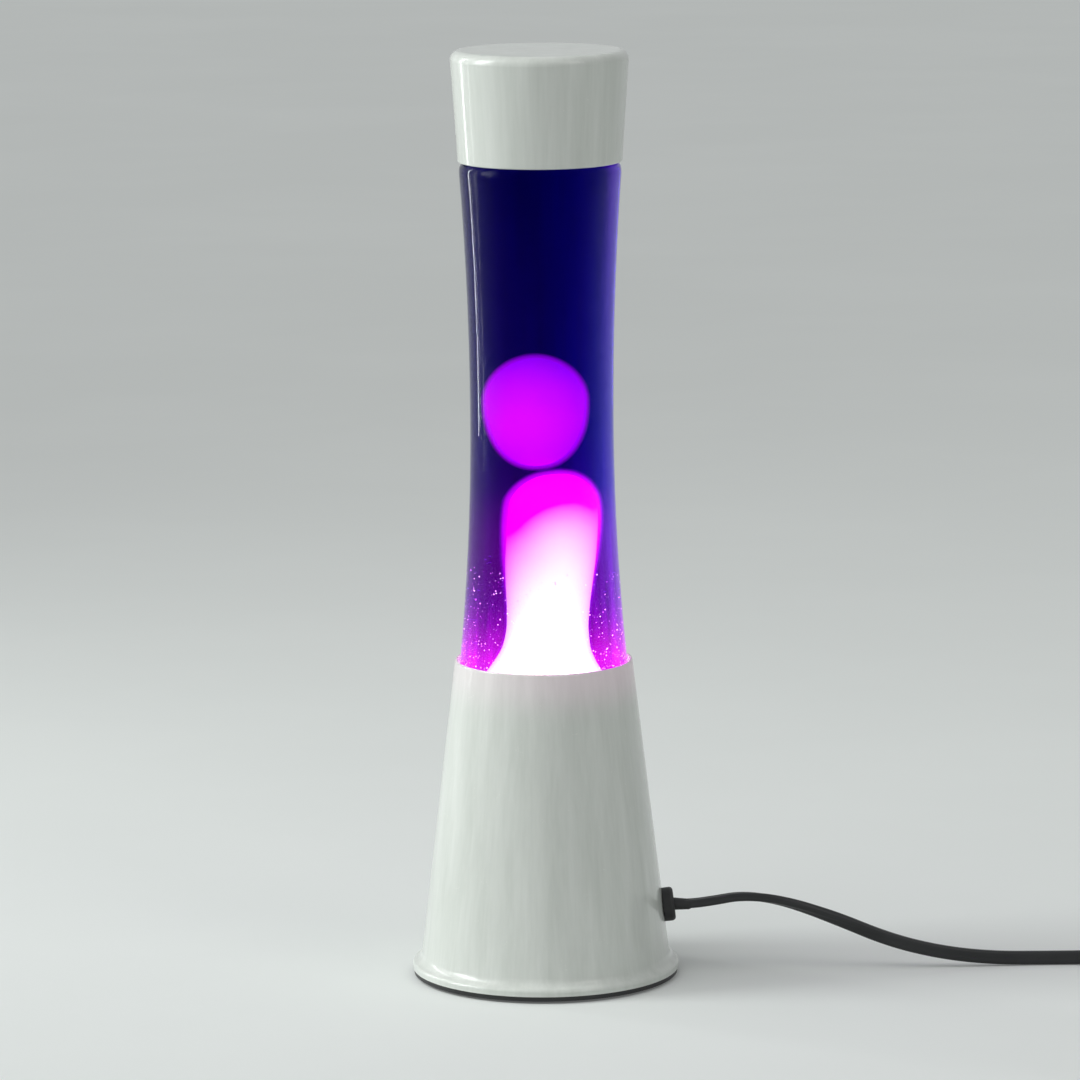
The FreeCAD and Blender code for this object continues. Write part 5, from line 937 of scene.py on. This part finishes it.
def sheath_place(turn):
    """A place on the sheath's section, across and up."""
    across, up = math.cos(turn), math.sin(turn)
    squared = (abs(across) ** SQUARENESS + abs(up) ** SQUARENESS) ** (-1 / SQUARENESS)
    groove = 1.0 - GROOVE_DEPTH * math.exp(-(across / GROOVE_WIDTH) ** 2)
    return across * squared * CORD_WIDTH / 2, up * squared * groove * CORD_THICKNESS / 2


def lead_turn(place):
    """Flat at the bush, and on edge where it reaches the table."""
    return ON_EDGE * eased((place.x / MM - TURN_FROM) / TURN_REACH)


sheath = [sheath_place(turn) for turn in circle(28)]
lead = skinned("cord_lead_sheath", [(swept(lead_line, sheath, lead_turn), 0)], ["cord_sheath"])
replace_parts(lead, "cord_lead")
on_edge = swept(rest_line, sheath, lambda place: ON_EDGE)
rest = skinned("cord_rest_sheath", [(on_edge, 0)], ["cord_sheath"])
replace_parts(rest, "cord_tail", "cord_coil", "cord_end")
print("cord laid")

# %% [markdown]
# ## The wires inside
#
# Inside the base the sheath ends and its two cores go on to the lampholder's terminals. In the switch one
# core is cut and ends at the two contacts, and the other runs through. Each is the same kind of smooth
# line as the cord's, with a round section.

# %% The wires' routes
CORE_RADIUS, SHEATH_RADIUS = 1.1, 2.9
LIVE_ROUTE = (
    (36.31, 1.43, 27.24), (32.33, 1.43, 26.77), (27.5, 4.0, 24.74), (21.5, 6.75, 19.1), (17.0, 6.75, 18.0),
    (14.4, 6.75, 18.0),
)
SHEATH_END = ((36.31, 0.0, 27.24), (45.0, 0.0, 28.22), (53.78, 0.0, 29.33))
SWITCH_THROUGH = (
    (29.46, 1.43, 7.0), (25.46, 1.43, 7.0), (21.45, 3.3, 4.8), (14.5, 10.05, 3.47), (10.2, 10.05, 3.1),
    (0.0, 10.25, 3.15),
)
SWITCH_LIVE = (
    (29.46, -1.43, 7.0), (25.46, -1.43, 7.0), (17.9, -0.88, 4.2), (13.4, -0.22, 3.1), (9.9, -0.22, 3.1),
)
SWITCH_MIDDLE, SWITCH_HEADING = Vector((307.1, -17.9, 0.0)), math.radians(-20.0)


def in_the_switch(route, turn=1.0):
    """Places of the switch's own frame in the lamp's, turned end for end with turn=-1."""
    heading = Matrix.Rotation(SWITCH_HEADING, 3, "Z")
    return [SWITCH_MIDDLE + heading @ Vector((turn * x, y, z)) for x, y, z in route]


# %% The wires inside
def wires(name, node, routes, slots, radius=CORE_RADIUS):
    """One piece that stands for a node; each route comes with the number of its finish."""
    section = [(radius * math.cos(turn), radius * math.sin(turn)) for turn in circle(16)]
    runs = [(swept(smooth_line("wire_line", route), section), number) for route, number in routes]
    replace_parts(skinned(name, runs, slots), node)


wires("live_core", "live_wire", [(LIVE_ROUTE, 0)], ["live_sheath"])
wires("neutral_core", "neutral_wire", [([(x, -y, z) for x, y, z in LIVE_ROUTE], 0)], ["neutral_sheath"])
wires("cord_end_in_the_bush", "cord_sheath_end", [(SHEATH_END, 0)], ["cord_sheath"], SHEATH_RADIUS)
wires("switch_cores", "switch_wires", [
    (in_the_switch(SWITCH_THROUGH) + in_the_switch(SWITCH_THROUGH, -1.0)[-2::-1], 1),
    (in_the_switch(SWITCH_LIVE), 0), (in_the_switch(SWITCH_LIVE, -1.0), 0),
], ["live_sheath", "neutral_sheath"])

# %% [markdown]
# Where the cord leaves the bush, a short collar of the same rubber tapers down on to it: an oval section
# that shrinks along the cord's first straight stretch.

# %% The collar on the bush
COLLAR_START, COLLAR_LENGTH, COLLAR_DROP, COLLAR_STEPS = Vector((54.2, 0.0, 29.25)), 7.5, 0.03, 10
COLLAR_WIDE, COLLAR_HIGH, AT_BUSH, TAPER, CHAMFER = 2.9, 2.0, 1.30, 0.22, 0.9
rings = []
for share in (step / COLLAR_STEPS for step in range(COLLAR_STEPS + 1)):
    grow = AT_BUSH - TAPER * share - CHAMFER * max(share - 0.9, 0.0)
    wide, high = COLLAR_WIDE * grow, COLLAR_HIGH * grow
    middle = COLLAR_START + Vector((1.0, 0.0, -COLLAR_DROP)) * COLLAR_LENGTH * share
    rings.append([
        (middle + Vector((0.0, math.cos(turn) * wide, math.sin(turn) * high))) * MM for turn in circle(24)])
skinned("bush_collar", [(rings, 0)], ["black_rubber"])
print("collar made")

# %% [markdown]
# ## Finishes for the solids that stay
#
# Turned, drawn and moulded parts are already exact as solids. They keep their shape, and each gets the
# finish of its material slot.

# %% Dress the solids
for name, solid in nodes.items():
    if slot_of[name] in finish:
        solid.data.materials.clear()
        solid.data.materials.append(finish[slot_of[name]])
print(f"{len(nodes)} solids dressed")

# %% [markdown]
# ## Floor and light
#
# The lamp stands on a plain pale floor that reaches far behind it, so that no edge shows. It is matt: a
# gloss would mirror the panel as a white sheet when it is seen from the side. The light is soft and
# mostly from the left: a wide panel there, whose narrow spread keeps a white patch off the floor, a weak
# one high on the right, and an even world. The left panel's lower edge is above the lamp, so that the
# sloping base reflects it and the upright glass does not. Two narrow strips behind the lamp on the left
# give the glass its thin bright lines.


# %% The floor
def seen_plainly(tree):
    """One for rays that show the background: straight, mirrored or through glass. Zero for its light."""
    rays = add_node(tree, "LightPath").outputs
    straight = calc(tree, "MAXIMUM", rays["Is Camera Ray"], rays["Is Transmission Ray"])
    return calc(tree, "MAXIMUM", straight, rays["Is Glossy Ray"])


FLOOR_RADIUS = 35.0
floor_finish, tree, shader = new_finish("pale floor", {
    "Specular IOR Level": 0.0, "Emission Color": colour(0.97, 1.0, 0.985),
})
floor_finish.cycles.emission_sampling = "AUTO"
mottle = smudged(tree, shader, 0.36, 0.42, 400.0)
fill_in(tree, shader, {
    "Base Color": mixed(tree, mottle, colour(0.72, 0.745, 0.73), colour(0.74, 0.765, 0.75)),
    "Emission Strength": calc(tree, "MULTIPLY", seen_plainly(tree), 0.10),
})
bpy.ops.mesh.primitive_circle_add(vertices=96, radius=FLOOR_RADIUS, fill_type="NGON")
floor = bpy.context.object
floor.name = "floor"
floor.data.materials.append(floor_finish)


# %% The lights
def panel(name, place, target, size, power, shade, spread=180.0):
    """A flat soft light at a place, turned to its target; sizes are in metres."""
    data = bpy.data.lights.new(name, "AREA")
    data.shape, data.energy, data.color, data.spread = "RECTANGLE", power, shade, math.radians(spread)
    data.size, data.size_y = size
    made = put_in_scene(name, data)
    made.location = place
    made.rotation_euler = (Vector(target) - Vector(place)).to_track_quat("-Z", "Y").to_euler()


COOL, WARM = (0.97, 1.0, 0.98), (1.0, 0.97, 0.93)
panel("left panel", (-1.55, -0.15, 1.02), (0.0, 0.0, 0.2), (0.6, 1.3), 3.5, (0.96, 1.0, 0.98), 80.0)
panel("left strip", (-0.9, 0.55, 0.5), (0.0, 0.0, 0.22), (0.05, 0.9), 1.6, COOL)
panel("second strip", (-1.05, 0.30, 0.45), (0.0, 0.0, 0.22), (0.025, 0.8), 0.35, COOL)
panel("right panel", (1.15, -1.0, 1.65), (0.0, 0.0, 0.18), (0.7, 0.9), 3.0, WARM)
sky = bpy.data.lights.new("overhead", "SUN")
sky.energy, sky.angle = 0.9, math.radians(50.0)
overhead = put_in_scene("overhead", sky)
overhead.rotation_euler = (math.radians(14.0), math.radians(-24.0), 0.0)
overhead.visible_glossy = False

# %% The studio round the lamp
world = bpy.data.worlds.new("studio")
world.use_nodes = True
bpy.context.scene.world = world
tree = world.node_tree
background = next(n for n in tree.nodes if n.type == "BACKGROUND")
fill_in(tree, background, {
    "Color": colour(0.90, 0.93, 0.94), "Strength": remap(tree, seen_plainly(tree), 0.0, 1.0, 0.26, 0.53)})
bpy.context.scene.view_settings.view_transform = "Standard"
print("lights on")
